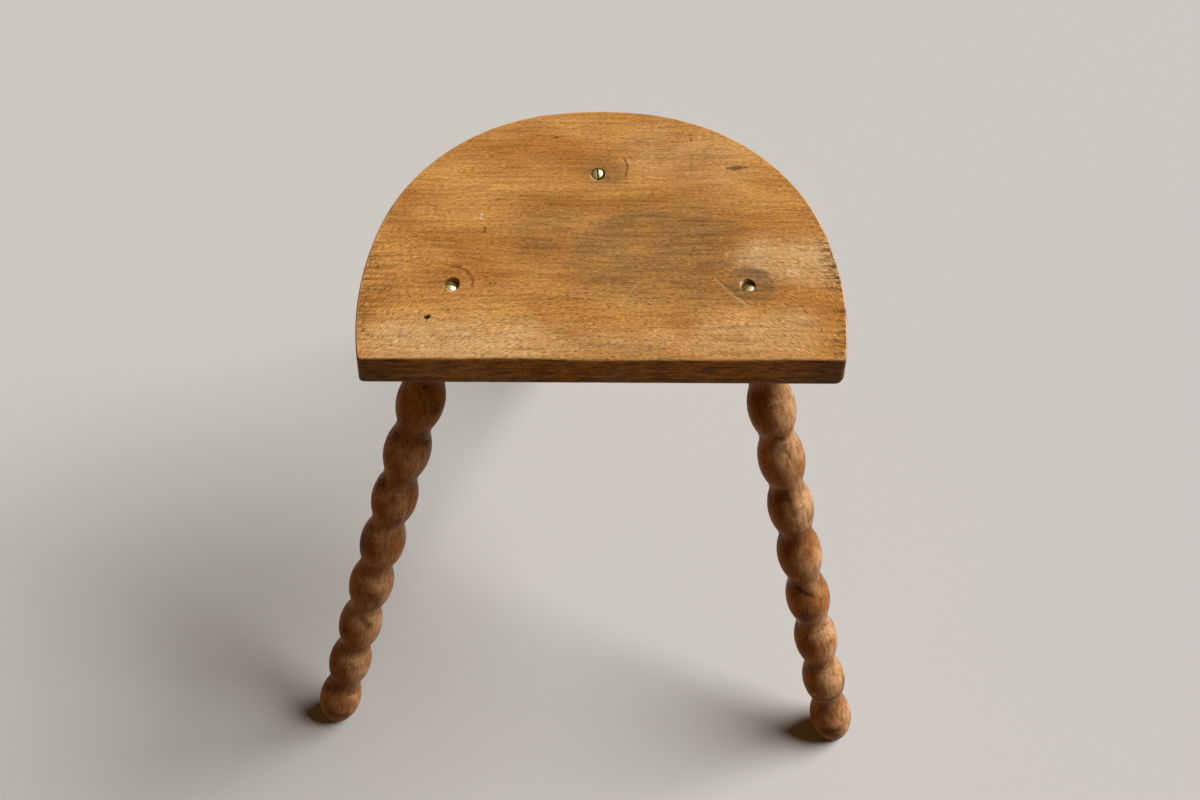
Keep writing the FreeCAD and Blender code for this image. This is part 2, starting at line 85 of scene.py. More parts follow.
class MarkKind(Enum):
    """How a mark on the wood looks."""

    # Dark dents, and one painted shadow pressed in beside a scratch on the seat
    BRUISE_AND_SHADOW = "dark dent"
    NICK = "pale torn fibres"
    # Dark soaking, and on the left leg's top patina with painted shade where the seat hangs over it
    STAIN_AND_SHADE = "dark greenish soaking"
    # Pale wear, and on the seat's top painted sheen as well
    POLISH_AND_SHEEN = "pale rubbed wood"
    GRIME = "black dirt"


@dataclass(frozen=True)
class Mark:
    """One mark on the wood, in millimetres, on the seat from its middle line and front edge.

    A mark is a capsule: all points nearer than half its width to the line from start to end.
    """

    kind: MarkKind
    start: tuple[float, float]
    end: tuple[float, float]
    width: float
    strength: float = 1.0
    depth: float = 0.0
    soft: float = 1.0

    def gap(self, x: float, y: float) -> float:
        """Measure how far a point lies from the line from start to end.

        Args:
            x: the point's first coordinate, in millimetres.
            y: its second coordinate, in millimetres.

        Returns:
            The distance, in millimetres.
        """
        line = Vector(self.end) - Vector(self.start)
        away = Vector((x, y)) - Vector(self.start)
        share = min(1.0, max(0.0, away.dot(line) / line.length_squared))
        return (away - line * share).length


def arc_marks(kind: MarkKind, middle: tuple[float, float], radius: float, turns: tuple[float, float],
              width: float, strength: float, depth: float, soft: float, count: int) -> list[Mark]:
    """Lay a mark along an arc.

    Args:
        kind: the kind of mark.
        middle: the arc's middle, in millimetres.
        radius: the arc's radius, in millimetres.
        turns: where it starts and ends, in degrees round from +X.
        width: the mark's width, in millimetres.
        strength: how strong it is.
        depth: how deep it is, in millimetres.
        soft: how wide its soft edge is, in millimetres.
        count: how many straight parts it is made of.

    Returns:
        The marks.
    """
    angles = [math.radians(turns[0] + (turns[1] - turns[0]) * i / count) for i in range(count + 1)]
    points = [(middle[0] + radius * math.cos(a), middle[1] + radius * math.sin(a)) for a in angles]
    return [Mark(kind, a, b, width, strength, depth, soft) for a, b in zip(points, points[1:])]


def marks(kind: MarkKind, *rows: tuple) -> list[Mark]:
    """Return marks of one kind, from rows of start, end, width, strength, depth and softness."""
    return [Mark(kind, *row) for row in rows]


MARKS = (
    *marks(
        MarkKind.BRUISE_AND_SHADOW,
        ((-123.8, 34.6), (-121.4, 35.4), 2.4, 1.0, 0.7, 0.8),
        ((-122.6, 33.6), (-122.3, 34.6), 2.0, 1.0, 0.7, 0.8),
        ((-122.9, 30.6), (-122.6, 30.4), 0.9, 0.7, 0.1),
        ((-120.6, 29.2), (-120.4, 29.0), 0.8, 0.6, 0.1),
        ((16.3, 172.5), (18.6, 166.0), 0.8, 0.60, 0.25),
        ((18.6, 166.0), (16.9, 155.5), 0.8, 0.55, 0.25),
        ((92.0, 164.2), (107.0, 165.2), 1.0, 0.70, 0.1, 2.0),
        ((97.0, 164.5), (102.0, 164.8), 2.8, 0.70, 0.1, 2.6),
        ((66.3, 190.0), (66.6, 190.2), 1.4, 0.9, 0.15),
        ((-34.8, 191.7), (-33.2, 191.9), 1.4, 0.8, 0.1),
        ((-84.8, 110.5), (-84.4, 106.0), 1.0, 0.6, 0.1),
        ((-79.6, 62.2), (-79.2, 62.6), 1.0, 0.8, 0.1),
        ((-76.2, 62.2), (-75.8, 62.6), 1.0, 0.8, 0.1),
    ),
    *marks(
        MarkKind.NICK,
        ((-87.2, 121.8), (-86.6, 122.3), 1.5, 0.85, 0.3),
        ((-87.8, 118.6), (-87.3, 118.9), 1.7, 0.85, 0.3),
        ((89.2, 87.8), (91.0, 89.6), 1.2, 0.55, 0.15),
        ((98.8, 82.0), (100.6, 83.2), 1.2, 0.55, 0.15),
        ((80.5, 68.0), (91.5, 54.6), 0.6, 0.40, 0.15, 0.7),
        ((91.5, 54.6), (104.0, 45.0), 0.7, 0.55, 0.15, 0.7),
    ),
    # A painted shadow along the scratch's upper right side, pressed in as a shallow dark dent
    Mark(MarkKind.BRUISE_AND_SHADOW, (81.4, 68.7), (105.2, 45.6), 0.4, 0.40, 0.05, 0.7),
    Mark(MarkKind.NICK, (12.8, 43.4), (26.0, 64.9), 0.8, 0.22, 0.1),
    *marks(
        MarkKind.BRUISE_AND_SHADOW,
        ((-122.0, 62.6), (-112.0, 62.8), 1.2, 0.30, 0.05, 2.4),
        ((-126.0, 59.8), (-113.0, 60.2), 0.8, 0.18, 0.05, 2.0),
    ),
    *arc_marks(MarkKind.BRUISE_AND_SHADOW, (-105.9, 62.2), 14.5, (95.0, -15.0), 1.1, 0.55, 0.05, 1.6, 5),
    *marks(
        MarkKind.STAIN_AND_SHADE,
        ((10.0, 92.0), (62.0, 98.0), 74.0, 0.62, 0.0, 38.0),
        ((-40.0, 108.0), (20.0, 96.0), 56.0, 0.40, 0.0, 34.0),
        ((0.0, 70.0), (70.0, 62.0), 44.0, 0.45, 0.0, 26.0),
        ((-3.0, 160.0), (8.0, 158.0), 20.0, 0.65, 0.0, 14.0),
        ((-3.0, 172.0), (6.0, 173.0), 10.0, 0.30, 0.0, 6.0),
        ((103.0, 64.0), (109.0, 62.0), 29.0, 0.80, 0.0, 5.0),
        ((90.0, 58.0), (120.0, 62.0), 24.0, 0.40, 0.0, 12.0),
        ((-138.6, 57.0), (-135.2, 50.0), 1.4, 0.65, 0.0, 1.2),
        ((139.5, 50.0), (143.0, 40.0), 1.6, 0.55, 0.0, 1.4),
    ),
    *arc_marks(MarkKind.STAIN_AND_SHADE, (-3.0, 158.8), 13.0, (150.0, 60.0), 1.2, 0.40, 0.0, 1.6, 3),
    # Pale wear on the seat's top, which also paints sheen along the front, on the right and towards the back
    # right
    *marks(
        MarkKind.POLISH_AND_SHEEN,
        ((-146.0, 16.0), (-58.0, 14.0), 34.0, 0.85, 0.0, 26.0),
        ((-50.0, 14.0), (70.0, 14.0), 22.0, 0.50, 0.0, 20.0),
        ((80.0, 18.0), (134.0, 24.0), 34.0, 0.64, 0.0, 26.0),
        ((112.0, 84.0), (158.0, 82.0), 34.0, 0.95, 0.0, 24.0),
        ((40.0, 180.0), (86.0, 168.0), 40.0, 0.40, 0.0, 34.0),
    ),
    *marks(
        MarkKind.GRIME,
        ((168.0, 64.0), (163.0, 98.0), 14.0, 0.95, 0.0, 12.0),
        ((168.0, 6.0), (172.0, 40.0), 12.0, 0.85, 0.0, 10.0),
        ((-168.0, 20.0), (-165.0, 90.0), 12.0, 0.55, 0.0, 12.0),
        ((-154.0, 52.0), (-148.0, 68.0), 16.0, 0.38, 0.0, 14.0),
        ((-113.0, 17.0), (-110.5, 14.0), 3.0, 0.5, 0.0, 3.0),
    ),
)
DENTS = tuple(mark for mark in MARKS if mark.depth)

# Marks on the legs, in millimetres: up the axis from the seat's underside, and round from the outer side
LEG_GAP = 1000.0
RIGHT = LEG_GAP
LEG_MARKS = (
    *marks(
        MarkKind.STAIN_AND_SHADE,
        # Patina and painted shade on the left leg's top, where the seat hangs over it
        ((-14.0, -12.0), (-14.0, 14.0), 22.0, 0.40, 0.0, 24.0),
        ((-470.0, 4.0), (-470.0, 18.0), 8.0, 0.70, 0.0, 8.0),
        ((RIGHT - 467.0, -16.0), (RIGHT - 466.0, -4.0), 8.0, 0.70, 0.0, 7.0),
    ),
    *marks(
        MarkKind.GRIME,
        ((-55.6, 9.2), (-53.4, 10.8), 3.0, 0.90, 0.0, 2.4),
        ((-113.8, -8.0), (-113.0, -2.0), 2.4, 0.60, 0.0, 2.4),
        ((-116.4, 24.0), (-116.0, 31.0), 2.4, 0.60, 0.0, 2.4),
        ((-332.0, 10.0), (-340.0, 19.0), 6.0, 0.60, 0.0, 6.0),
        ((RIGHT - 160.0, -10.0), (RIGHT - 183.0, -7.0), 5.0, 0.65, 0.0, 6.0),
        ((RIGHT - 101.0, -9.0), (RIGHT - 104.0, -2.0), 4.0, 0.65, 0.0, 5.0),
        ((RIGHT - 421.0, -18.0), (RIGHT - 422.0, 2.0), 4.0, 0.60, 0.0, 4.0),
        ((RIGHT - 276.0, -17.0), (RIGHT - 283.0, -5.0), 5.0, 0.75, 0.0, 5.0),
        ((RIGHT - 307.4, -7.0), (RIGHT - 306.4, -5.0), 2.6, 0.60, 0.0, 2.0),
        ((RIGHT - 332.0, -6.0), (RIGHT - 330.0, 8.0), 0.8, 0.85, 0.0, 0.8),
    ),
    *marks(
        MarkKind.POLISH_AND_SHEEN,
        ((-446.0, 18.0), (-445.6, 22.0), 2.2, 0.50, 0.0, 2.0),
        ((RIGHT - 386.4, -7.0), (RIGHT - 385.8, 1.0), 0.8, 0.70, 0.0, 0.8),
    ),
)


class Canvas:
    """Adds nodes to one node tree and joins them."""

    def __init__(self, tree: bpy.types.NodeTree) -> None:
        """Start on the node tree of a material, a world or a group."""
        self.tree = tree

    def add(self, kind: str, feeds: Feeds | None = None, **settings: object) -> Node:
        """Add a node.

        Args:
            kind: the node's type name.
            feeds: what goes into its inputs, by name or number.
            settings: the node's own settings.

        Returns:
            The new node.
        """
        node = self.tree.nodes.new(kind)
        for name, value in settings.items():
            setattr(node, name, value)
        self.give(node, feeds or {})
        return node

    def give(self, node: Node, feeds: Feeds) -> None:
        """Give some of a node's inputs, by name or number, their links or plain values."""
        for key, value in feeds.items():
            self.feed(node.inputs[key], value)

    def feed(self, socket: Socket, value: Feed) -> None:
        """Give an input a link or a plain value.

        Args:
            socket: the input.
            value: an output to link, or a number, vector or colour.
        """
        if isinstance(value, Socket):
            self.tree.links.new(value, socket)
        elif socket.type == "RGBA" and len(value) == 3:
            socket.default_value = (*value, 1.0)
        else:
            socket.default_value = value

    def math(self, operation: str, first: Feed, second: Feed = 0.0, clamp: bool = False) -> Socket:
        """Work out one number from two, kept within 0 and 1 if clamp is set."""
        feeds = {0: first, 1: second}
        return self.add("ShaderNodeMath", feeds, operation=operation, use_clamp=clamp).outputs[0]

    def vector(self, operation: str, first: Feed, second: Feed, output: str = "Vector") -> Socket:
        """Work out a vector or a number from two vectors."""
        return self.add("ShaderNodeVectorMath", {0: first, 1: second}, operation=operation).outputs[output]

    def ramp(self, value: Feed, low: Feed, high: Feed, bottom: float = 0.0, top: float = 1.0) -> Socket:
        """Ease a number: bottom where the value is low, top where it is high."""
        feeds = {"Value": value, "From Min": low, "From Max": high, "To Min": bottom, "To Max": top}
        return self.add("ShaderNodeMapRange", feeds, interpolation_type="SMOOTHSTEP").outputs[0]

    def mix(self, share: Feed, first: Feed, second: Feed, blend: str = "MIX") -> Socket:
        """Mix a share of the second colour into the first."""
        feeds = {0: share, 6: first, 7: second}
        return self.add("ShaderNodeMix", feeds, data_type="RGBA", blend_type=blend).outputs[2]

    def noise(self, vector: Feed, stretch: tuple[float, float, float], detail: float = 2.0,
              roughness: float = 0.5) -> Socket:
        """Read a noise that is stretched along the axes.

        Args:
            vector: the place, in metres.
            stretch: noise cells in a metre along X, Y and Z.
            detail: octaves of the noise.
            roughness: how strong the finer octaves are.

        Returns:
            The noise, about 0 to 1.
        """
        scaled = self.vector("MULTIPLY", vector, stretch)
        feeds = {"Vector": scaled, "Scale": 1.0, "Detail": detail, "Roughness": roughness}
        return self.add("ShaderNodeTexNoise", feeds).outputs[0]

    def group(self, name: str, feeds: Feeds) -> Outputs:
        """Place a shared node group, feed its inputs and return its outputs."""
        return self.add("ShaderNodeGroup", feeds, node_tree=bpy.data.node_groups[name]).outputs

    def attribute(self, name: str, output: str = "Fac") -> Socket:
        """Read one of the mesh's own attributes."""
        return self.add("ShaderNodeAttribute", attribute_name=name).outputs[output]

    def split(self, vector: Feed) -> Outputs:
        """Take a vector apart into X, Y and Z."""
        return self.add("ShaderNodeSeparateXYZ", {0: vector}).outputs

    def scaled(self, vector: Feed, scale: Feed) -> Socket:
        """Return a vector times a number."""
        return self.add("ShaderNodeVectorMath", {0: vector, "Scale": scale}, operation="SCALE").outputs[0]

    def tint(self, colour: Feed, *layers: Feed) -> Socket:
        """Darken or brighten a colour by layers.

        Args:
            colour: the colour.
            layers: what it is multiplied by, one after the other.

        Returns:
            The new colour.
        """
        for layer in layers:
            colour = self.mix(1.0, colour, layer, "MULTIPLY")
        return colour

    def bump(self, height: Socket, strength: float, distance: float) -> Socket:
        """Return the normal of a surface with small heights on it."""
        feeds = {"Height": height, "Strength": strength, "Distance": distance}
        return self.add("ShaderNodeBump", feeds).outputs[0]


class SharedEffects:
    """The node groups that more than one finish uses."""

    GRAIN = "grain"
    SMUDGE = "smudge"

    def build(self) -> None:
        """Make every group once."""
        self._grain()
        self._smudge()

    @staticmethod
    def _start(name: str, inputs: dict[str, str],
               outputs: dict[str, str]) -> tuple[Canvas, dict[str, Socket], Node]:
        """Make an empty group.

        Args:
            name: the group's name.
            inputs: names and socket types of its inputs.
            outputs: names and socket types of its outputs.

        Returns:
            The group's canvas, its input sockets by name, and its output node.
        """
        tree = bpy.data.node_groups.new(name, "ShaderNodeTree")
        for label, kind in inputs.items():
            tree.interface.new_socket(label, in_out="INPUT", socket_type=kind)
        for label, kind in outputs.items():
            tree.interface.new_socket(label, in_out="OUTPUT", socket_type=kind)
        canvas = Canvas(tree)
        entry = canvas.add("NodeGroupInput")
        leave = canvas.add("NodeGroupOutput")
        return canvas, {label: entry.outputs[label] for label in inputs}, leave

    def _grain(self) -> None:
        """Wood whose fibres run along X: broad figure, thin streaks and short flecks."""
        outputs = dict.fromkeys(("Figure", "Streak", "Fleck"), "NodeSocketFloat")
        inputs = dict.fromkeys(("Vector", "Fleck Vector"), "NodeSocketVector")
        canvas, given, leave = self._start(self.GRAIN, inputs, outputs)
        place = given["Vector"]
        bend = canvas.noise(place, (9.0, 16.0, 16.0), 1.0)
        shift = canvas.math("MULTIPLY", canvas.math("SUBTRACT", bend, 0.5), 0.012)
        offset = canvas.add("ShaderNodeCombineXYZ", {"Y": shift, "Z": shift}).outputs[0]
        bent = canvas.vector("ADD", place, offset)
        figure = canvas.noise(bent, (5.0, 32.0, 32.0), 3.0, 0.55)
        streak = canvas.noise(bent, (24.0, 480.0, 480.0), 3.0, 0.6)
        fleck = canvas.noise(given["Fleck Vector"], (310.0, 1000.0, 1000.0), 2.0, 0.65)
        canvas.give(leave, {"Figure": figure, "Streak": streak, "Fleck": fleck})

    def _smudge(self) -> None:
        """A soft capsule on the XY plane: 1 inside, easing to 0 outside."""
        inputs = {"Vector": "NodeSocketVector", "Start": "NodeSocketVector", "End": "NodeSocketVector",
                  "Half Width": "NodeSocketFloat", "Softness": "NodeSocketFloat"}
        canvas, given, leave = self._start(self.SMUDGE, inputs, {"Mask": "NodeSocketFloat"})
        flat = canvas.vector("MULTIPLY", given["Vector"], (1.0, 1.0, 0.0))
        away = canvas.vector("SUBTRACT", flat, given["Start"])
        line = canvas.vector("SUBTRACT", given["End"], given["Start"])
        along = canvas.vector("DOT_PRODUCT", away, line, "Value")
        whole = canvas.vector("DOT_PRODUCT", line, line, "Value")
        share = canvas.math("DIVIDE", along, whole, clamp=True)
        nearest = canvas.scaled(line, share)
        gap = canvas.vector("DISTANCE", away, nearest, "Value")
        inner = canvas.math("SUBTRACT", given["Half Width"], given["Softness"])
        canvas.give(leave, {"Mask": canvas.ramp(gap, inner, given["Half Width"], 1.0, 0.0)})


def ragged(canvas: Canvas, place: Socket) -> Socket:
    """Shake a place a little, so that marks get ragged edges.

    Args:
        canvas: the material's canvas.
        place: the place.

    Returns:
        The shaken place.
    """
    shake = canvas.add("ShaderNodeTexNoise", {"Vector": place, "Scale": 700.0, "Detail": 2.0}).outputs[1]
    middle = canvas.vector("SUBTRACT", shake, (0.5, 0.5, 0.5))
    return canvas.vector("ADD", place, canvas.scaled(middle, RAGGED))


def mark_mask(canvas: Canvas, near: Socket, table: tuple[Mark, ...], kind: MarkKind) -> Socket:
    """Find where the marks of one kind lie.

    Args:
        canvas: the material's canvas.
        near: the shaken place.
        table: the marks of all kinds.
        kind: the kind of mark.

    Returns:
        The mask.
    """
    total: Feed = 0.0
    for mark in (m for m in table if m.kind is kind):
        feeds = {
            "Vector": near,
            "Start": (mark.start[0] * MM, mark.start[1] * MM, 0.0),
            "End": (mark.end[0] * MM, mark.end[1] * MM, 0.0),
            "Half Width": (mark.width + mark.soft) / 2 * MM,
            "Softness": mark.soft * MM,
        }
        mask = canvas.group(SharedEffects.SMUDGE, feeds)["Mask"]
        total = canvas.math("MAXIMUM", canvas.math("MULTIPLY", mask, mark.strength), total)
    return total


def new_material(name: str) -> tuple[Material, Canvas, Node]:
    """Make a material with an empty Principled shader.

    Args:
        name: the material's name.

    Returns:
        The material, its canvas and its shader node.
    """
    material = bpy.data.materials.new(name)
    material.use_nodes = True
    return material, Canvas(material.node_tree), material.node_tree.nodes["Principled BSDF"]


@dataclass(frozen=True)
class SeatFinish:
    """Honey-brown waxed wood, pale in places with wear and painted sheen, stained in others, and painted dark
    as shade in its holes.
    """

    light: Colour = (0.60, 0.295, 0.082)
    dark: Colour = (0.40, 0.158, 0.034)
    stain: Colour = (0.20, 0.108, 0.044)
    # Pale wear that also stands for painted sheen
    polish_and_sheen: Colour = (0.62, 0.365, 0.160)
    torn: Colour = (0.72, 0.54, 0.36)
    # Near black for dirt, dark dents and one painted shadow
    near_black: Colour = (0.030, 0.016, 0.008)
    front_light: Colour = (0.70, 0.385, 0.090)
    front_dark: Colour = (0.27, 0.115, 0.022)
    rim: Colour = (0.70, 0.65, 0.58)
    under: Colour = (0.34, 0.19, 0.085)
    # Painted shade: the dark of the holes' walls
    bored: Colour = (0.10, 0.050, 0.020)
    bow: float = 2.2
    bow_depth: float = 150 * MM

    def material(self, middle: Vector) -> Material:
        """Make the seat's wood.

        Args:
            middle: the point on the top's front edge, on its middle line.

        Returns:
            The material.
        """
        material, canvas, shader = new_material("seat_wood")
        place = canvas.add("ShaderNodeTexCoord").outputs["Object"]
        local = canvas.add("ShaderNodeMapping", {"Vector": place, "Location": tuple(-middle)}).outputs[0]
        bowed = self._bowed(canvas, local)
        grain = canvas.group(SharedEffects.GRAIN, {"Vector": local, "Fleck Vector": bowed})
        near = ragged(canvas, local)
        tone = self._tone(canvas, local, near, grain)
        top = self._marks(canvas, local, near, tone, grain)
        gloss = canvas.ramp(canvas.noise(local, (18.0, 40.0, 40.0), 3.0), 0.3, 0.75, 0.42, 0.60)
        fleck = canvas.math("MULTIPLY", grain["Fleck"], 0.6)
        height = canvas.math("ADD", fleck, canvas.math("MULTIPLY", grain["Streak"], 0.4))
        canvas.give(shader, {
            "Base Color": self._edges(canvas, local, tone, top, grain),
            "Roughness": gloss,
            "Normal": canvas.bump(height, 0.22, 0.3 * MM),
            "Specular IOR Level": 0.10,
            "Specular Tint": WAX,
        })
        return material

    def _bowed(self, canvas: Canvas, local: Socket) -> Socket:
        """Bend the place so that fibres bow round towards the front corners.

        Args:
            canvas: the material's canvas.
            local: the place on the seat.

        Returns:
            The bent place.
        """
        parts = canvas.split(local)
        fade = canvas.ramp(parts["Y"], 0.0, self.bow_depth, self.bow, 0.0)
        square = canvas.math("MULTIPLY", parts["X"], parts["X"])
        offset = canvas.add("ShaderNodeCombineXYZ", {"Y": canvas.math("MULTIPLY", square, fade)}).outputs[0]
        return canvas.vector("ADD", local, offset)

    def _tone(self, canvas: Canvas, local: Socket, near: Socket, grain: Outputs) -> Socket:
        """Colour the wood: clouds and figure, pale places of wear and painted sheen, soaked places, then
        streaks, and flecks with painted glints.

        Args:
            canvas: the material's canvas.
            local: the place on the seat.
            near: the shaken place on the seat.
            grain: the grain group's outputs.

        Returns:
            The colour.
        """
        cloud = canvas.noise(local, (12.0, 17.0, 17.0), 3.0, 0.55)
        share = canvas.math("MULTIPLY", grain["Figure"], 0.45)
        tone = canvas.math("ADD", share, canvas.math("MULTIPLY", cloud, 0.55))
        colour = canvas.mix(canvas.ramp(tone, 0.34, 0.64), self.dark, self.light)
        patchy = canvas.ramp(canvas.noise(local, (50.0, 70.0, 70.0), 4.0, 0.6), 0.25, 0.70, 0.45, 1.2)
        # Pale places of wear, which also paint sheen
        polish_and_sheen = canvas.math("MULTIPLY", mark_mask(canvas, near, MARKS, MarkKind.POLISH_AND_SHEEN), patchy, True)
        colour = canvas.mix(polish_and_sheen, colour, self.polish_and_sheen)
        pores = canvas.ramp(grain["Streak"], 0.30, 0.62, 1.15, 0.85)
        soaked = canvas.math("MULTIPLY", mark_mask(canvas, near, MARKS, MarkKind.STAIN_AND_SHADE), patchy)
        colour = canvas.mix(canvas.math("MULTIPLY", soaked, pores, True), colour, self.stain)
        streak = canvas.ramp(grain["Streak"], 0.30, 0.62, 0.78, 1.10)
        colour = canvas.tint(colour, streak)
        # Dark and bright flecks of the grain; the bright ones are also painted glints, strongest towards the
        # front edge
        pits = canvas.ramp(grain["Fleck"], 0.30, 0.47, 0.38, 1.0)
        glints = canvas.ramp(grain["Fleck"], 0.54, 0.72, 1.0, 1.65)
        front = canvas.ramp(canvas.split(local)["Y"], 15 * MM, 110 * MM, 1.0, 0.78)
        return canvas.mix(front, colour, canvas.math("MULTIPLY", pits, glints), "MULTIPLY")

    def _marks(self, canvas: Canvas, local: Socket, near: Socket, tone: Socket,
               grain: Outputs) -> Socket:
        """Lay dirt and dark dents over the wood, with one painted shadow beside a scratch.

        Args:
            canvas: the material's canvas.
            local: the place on the seat.
            near: the shaken place on the seat.
            tone: the wood's colour.
            grain: the grain group's outputs.

        Returns:
            The colour.
        """
        lines = canvas.ramp(grain["Streak"], 0.36, 0.52, 1.0, 0.0)
        specks = canvas.ramp(canvas.noise(local, (220.0, 500.0, 500.0), 3.0, 0.7), 0.50, 0.62)
        dirt = canvas.math("MAXIMUM", canvas.math("MULTIPLY", lines, 0.7), specks)
        grime = canvas.math("MULTIPLY", mark_mask(canvas, near, MARKS, MarkKind.GRIME), dirt, True)
        colour = canvas.mix(grime, tone, self.near_black)
        bruised = canvas.attribute(SeatBoard.BRUISED_AND_SHADED)
        return canvas.mix(bruised, colour, self.near_black)

    def _edges(self, canvas: Canvas, local: Socket, tone: Socket, top: Socket,
               grain: Outputs) -> Socket:
        """Colour the rim's wall, with painted shade along the front face's bottom, the holes' walls painted
        dark as shade, and the underside, and make the arrises pale with wear and a painted highlight.

        Args:
            canvas: the material's canvas.
            local: the place on the seat.
            tone: the wood's colour.
            top: the top's colour, with its marks.
            grain: the grain group's outputs.

        Returns:
            The colour.
        """
        wall, under, arris, inside, lips, _ = (canvas.attribute(name) for name in SeatBoard.LAYERS)
        mottle = canvas.noise(local, (60.0, 60.0, 240.0), 5.0, 0.7)
        streak = canvas.ramp(grain["Streak"], 0.30, 0.62, 0.66, 1.18)
        side = canvas.mix(canvas.ramp(mottle, 0.40, 0.58), self.front_dark, self.front_light)
        flecks = canvas.ramp(grain["Fleck"], 0.34, 0.60, 0.58, 1.20)
        soot = canvas.ramp(canvas.noise(local, (45.0, 45.0, 170.0), 4.0, 0.7), 0.62, 0.78, 0.0, 0.7)
        side = canvas.mix(soot, canvas.tint(side, flecks, streak), self.near_black)
        parts = canvas.split(local)
        ends = canvas.ramp(canvas.math("ABSOLUTE", parts["X"]), 105 * MM, 170 * MM, 1.05, 0.55)
        # Painted shade along the bottom of the front face, where its lower edge rounds away
        below = canvas.ramp(parts["Z"], -29 * MM, -21 * MM, 0.66, 1.0)
        side = canvas.tint(side, canvas.math("MULTIPLY", ends, below))
        curved = canvas.ramp(parts["Y"], 2 * MM, 7 * MM)
        side = canvas.mix(curved, side, canvas.tint(tone, self.rim))
        colour = canvas.mix(wall, top, side)
        # The underside's own colour, and the holes' walls painted dark as shade
        for share, wood in ((under, self.under), (inside, self.bored)):
            colour = canvas.mix(share, colour, canvas.tint(wood, streak))
        # The arrises are pale with wear and also carry a painted highlight
        rubbed_and_highlit = canvas.math("MULTIPLY", arris, canvas.ramp(mottle, 0.35, 0.60, 0.2, 0.9), True)
        rubbed_and_highlit = canvas.math("MULTIPLY", rubbed_and_highlit, canvas.ramp(curved, 0.0, 1.0, 0.15, 1.0))
        colour = canvas.mix(rubbed_and_highlit, colour, self.torn)
        frayed = canvas.ramp(canvas.noise(local, (1100.0, 1100.0, 1100.0), 2.0), 0.34, 0.50, 0.15, 1.0)
        return canvas.mix(canvas.math("MULTIPLY", lips, frayed, True), colour, self.torn)


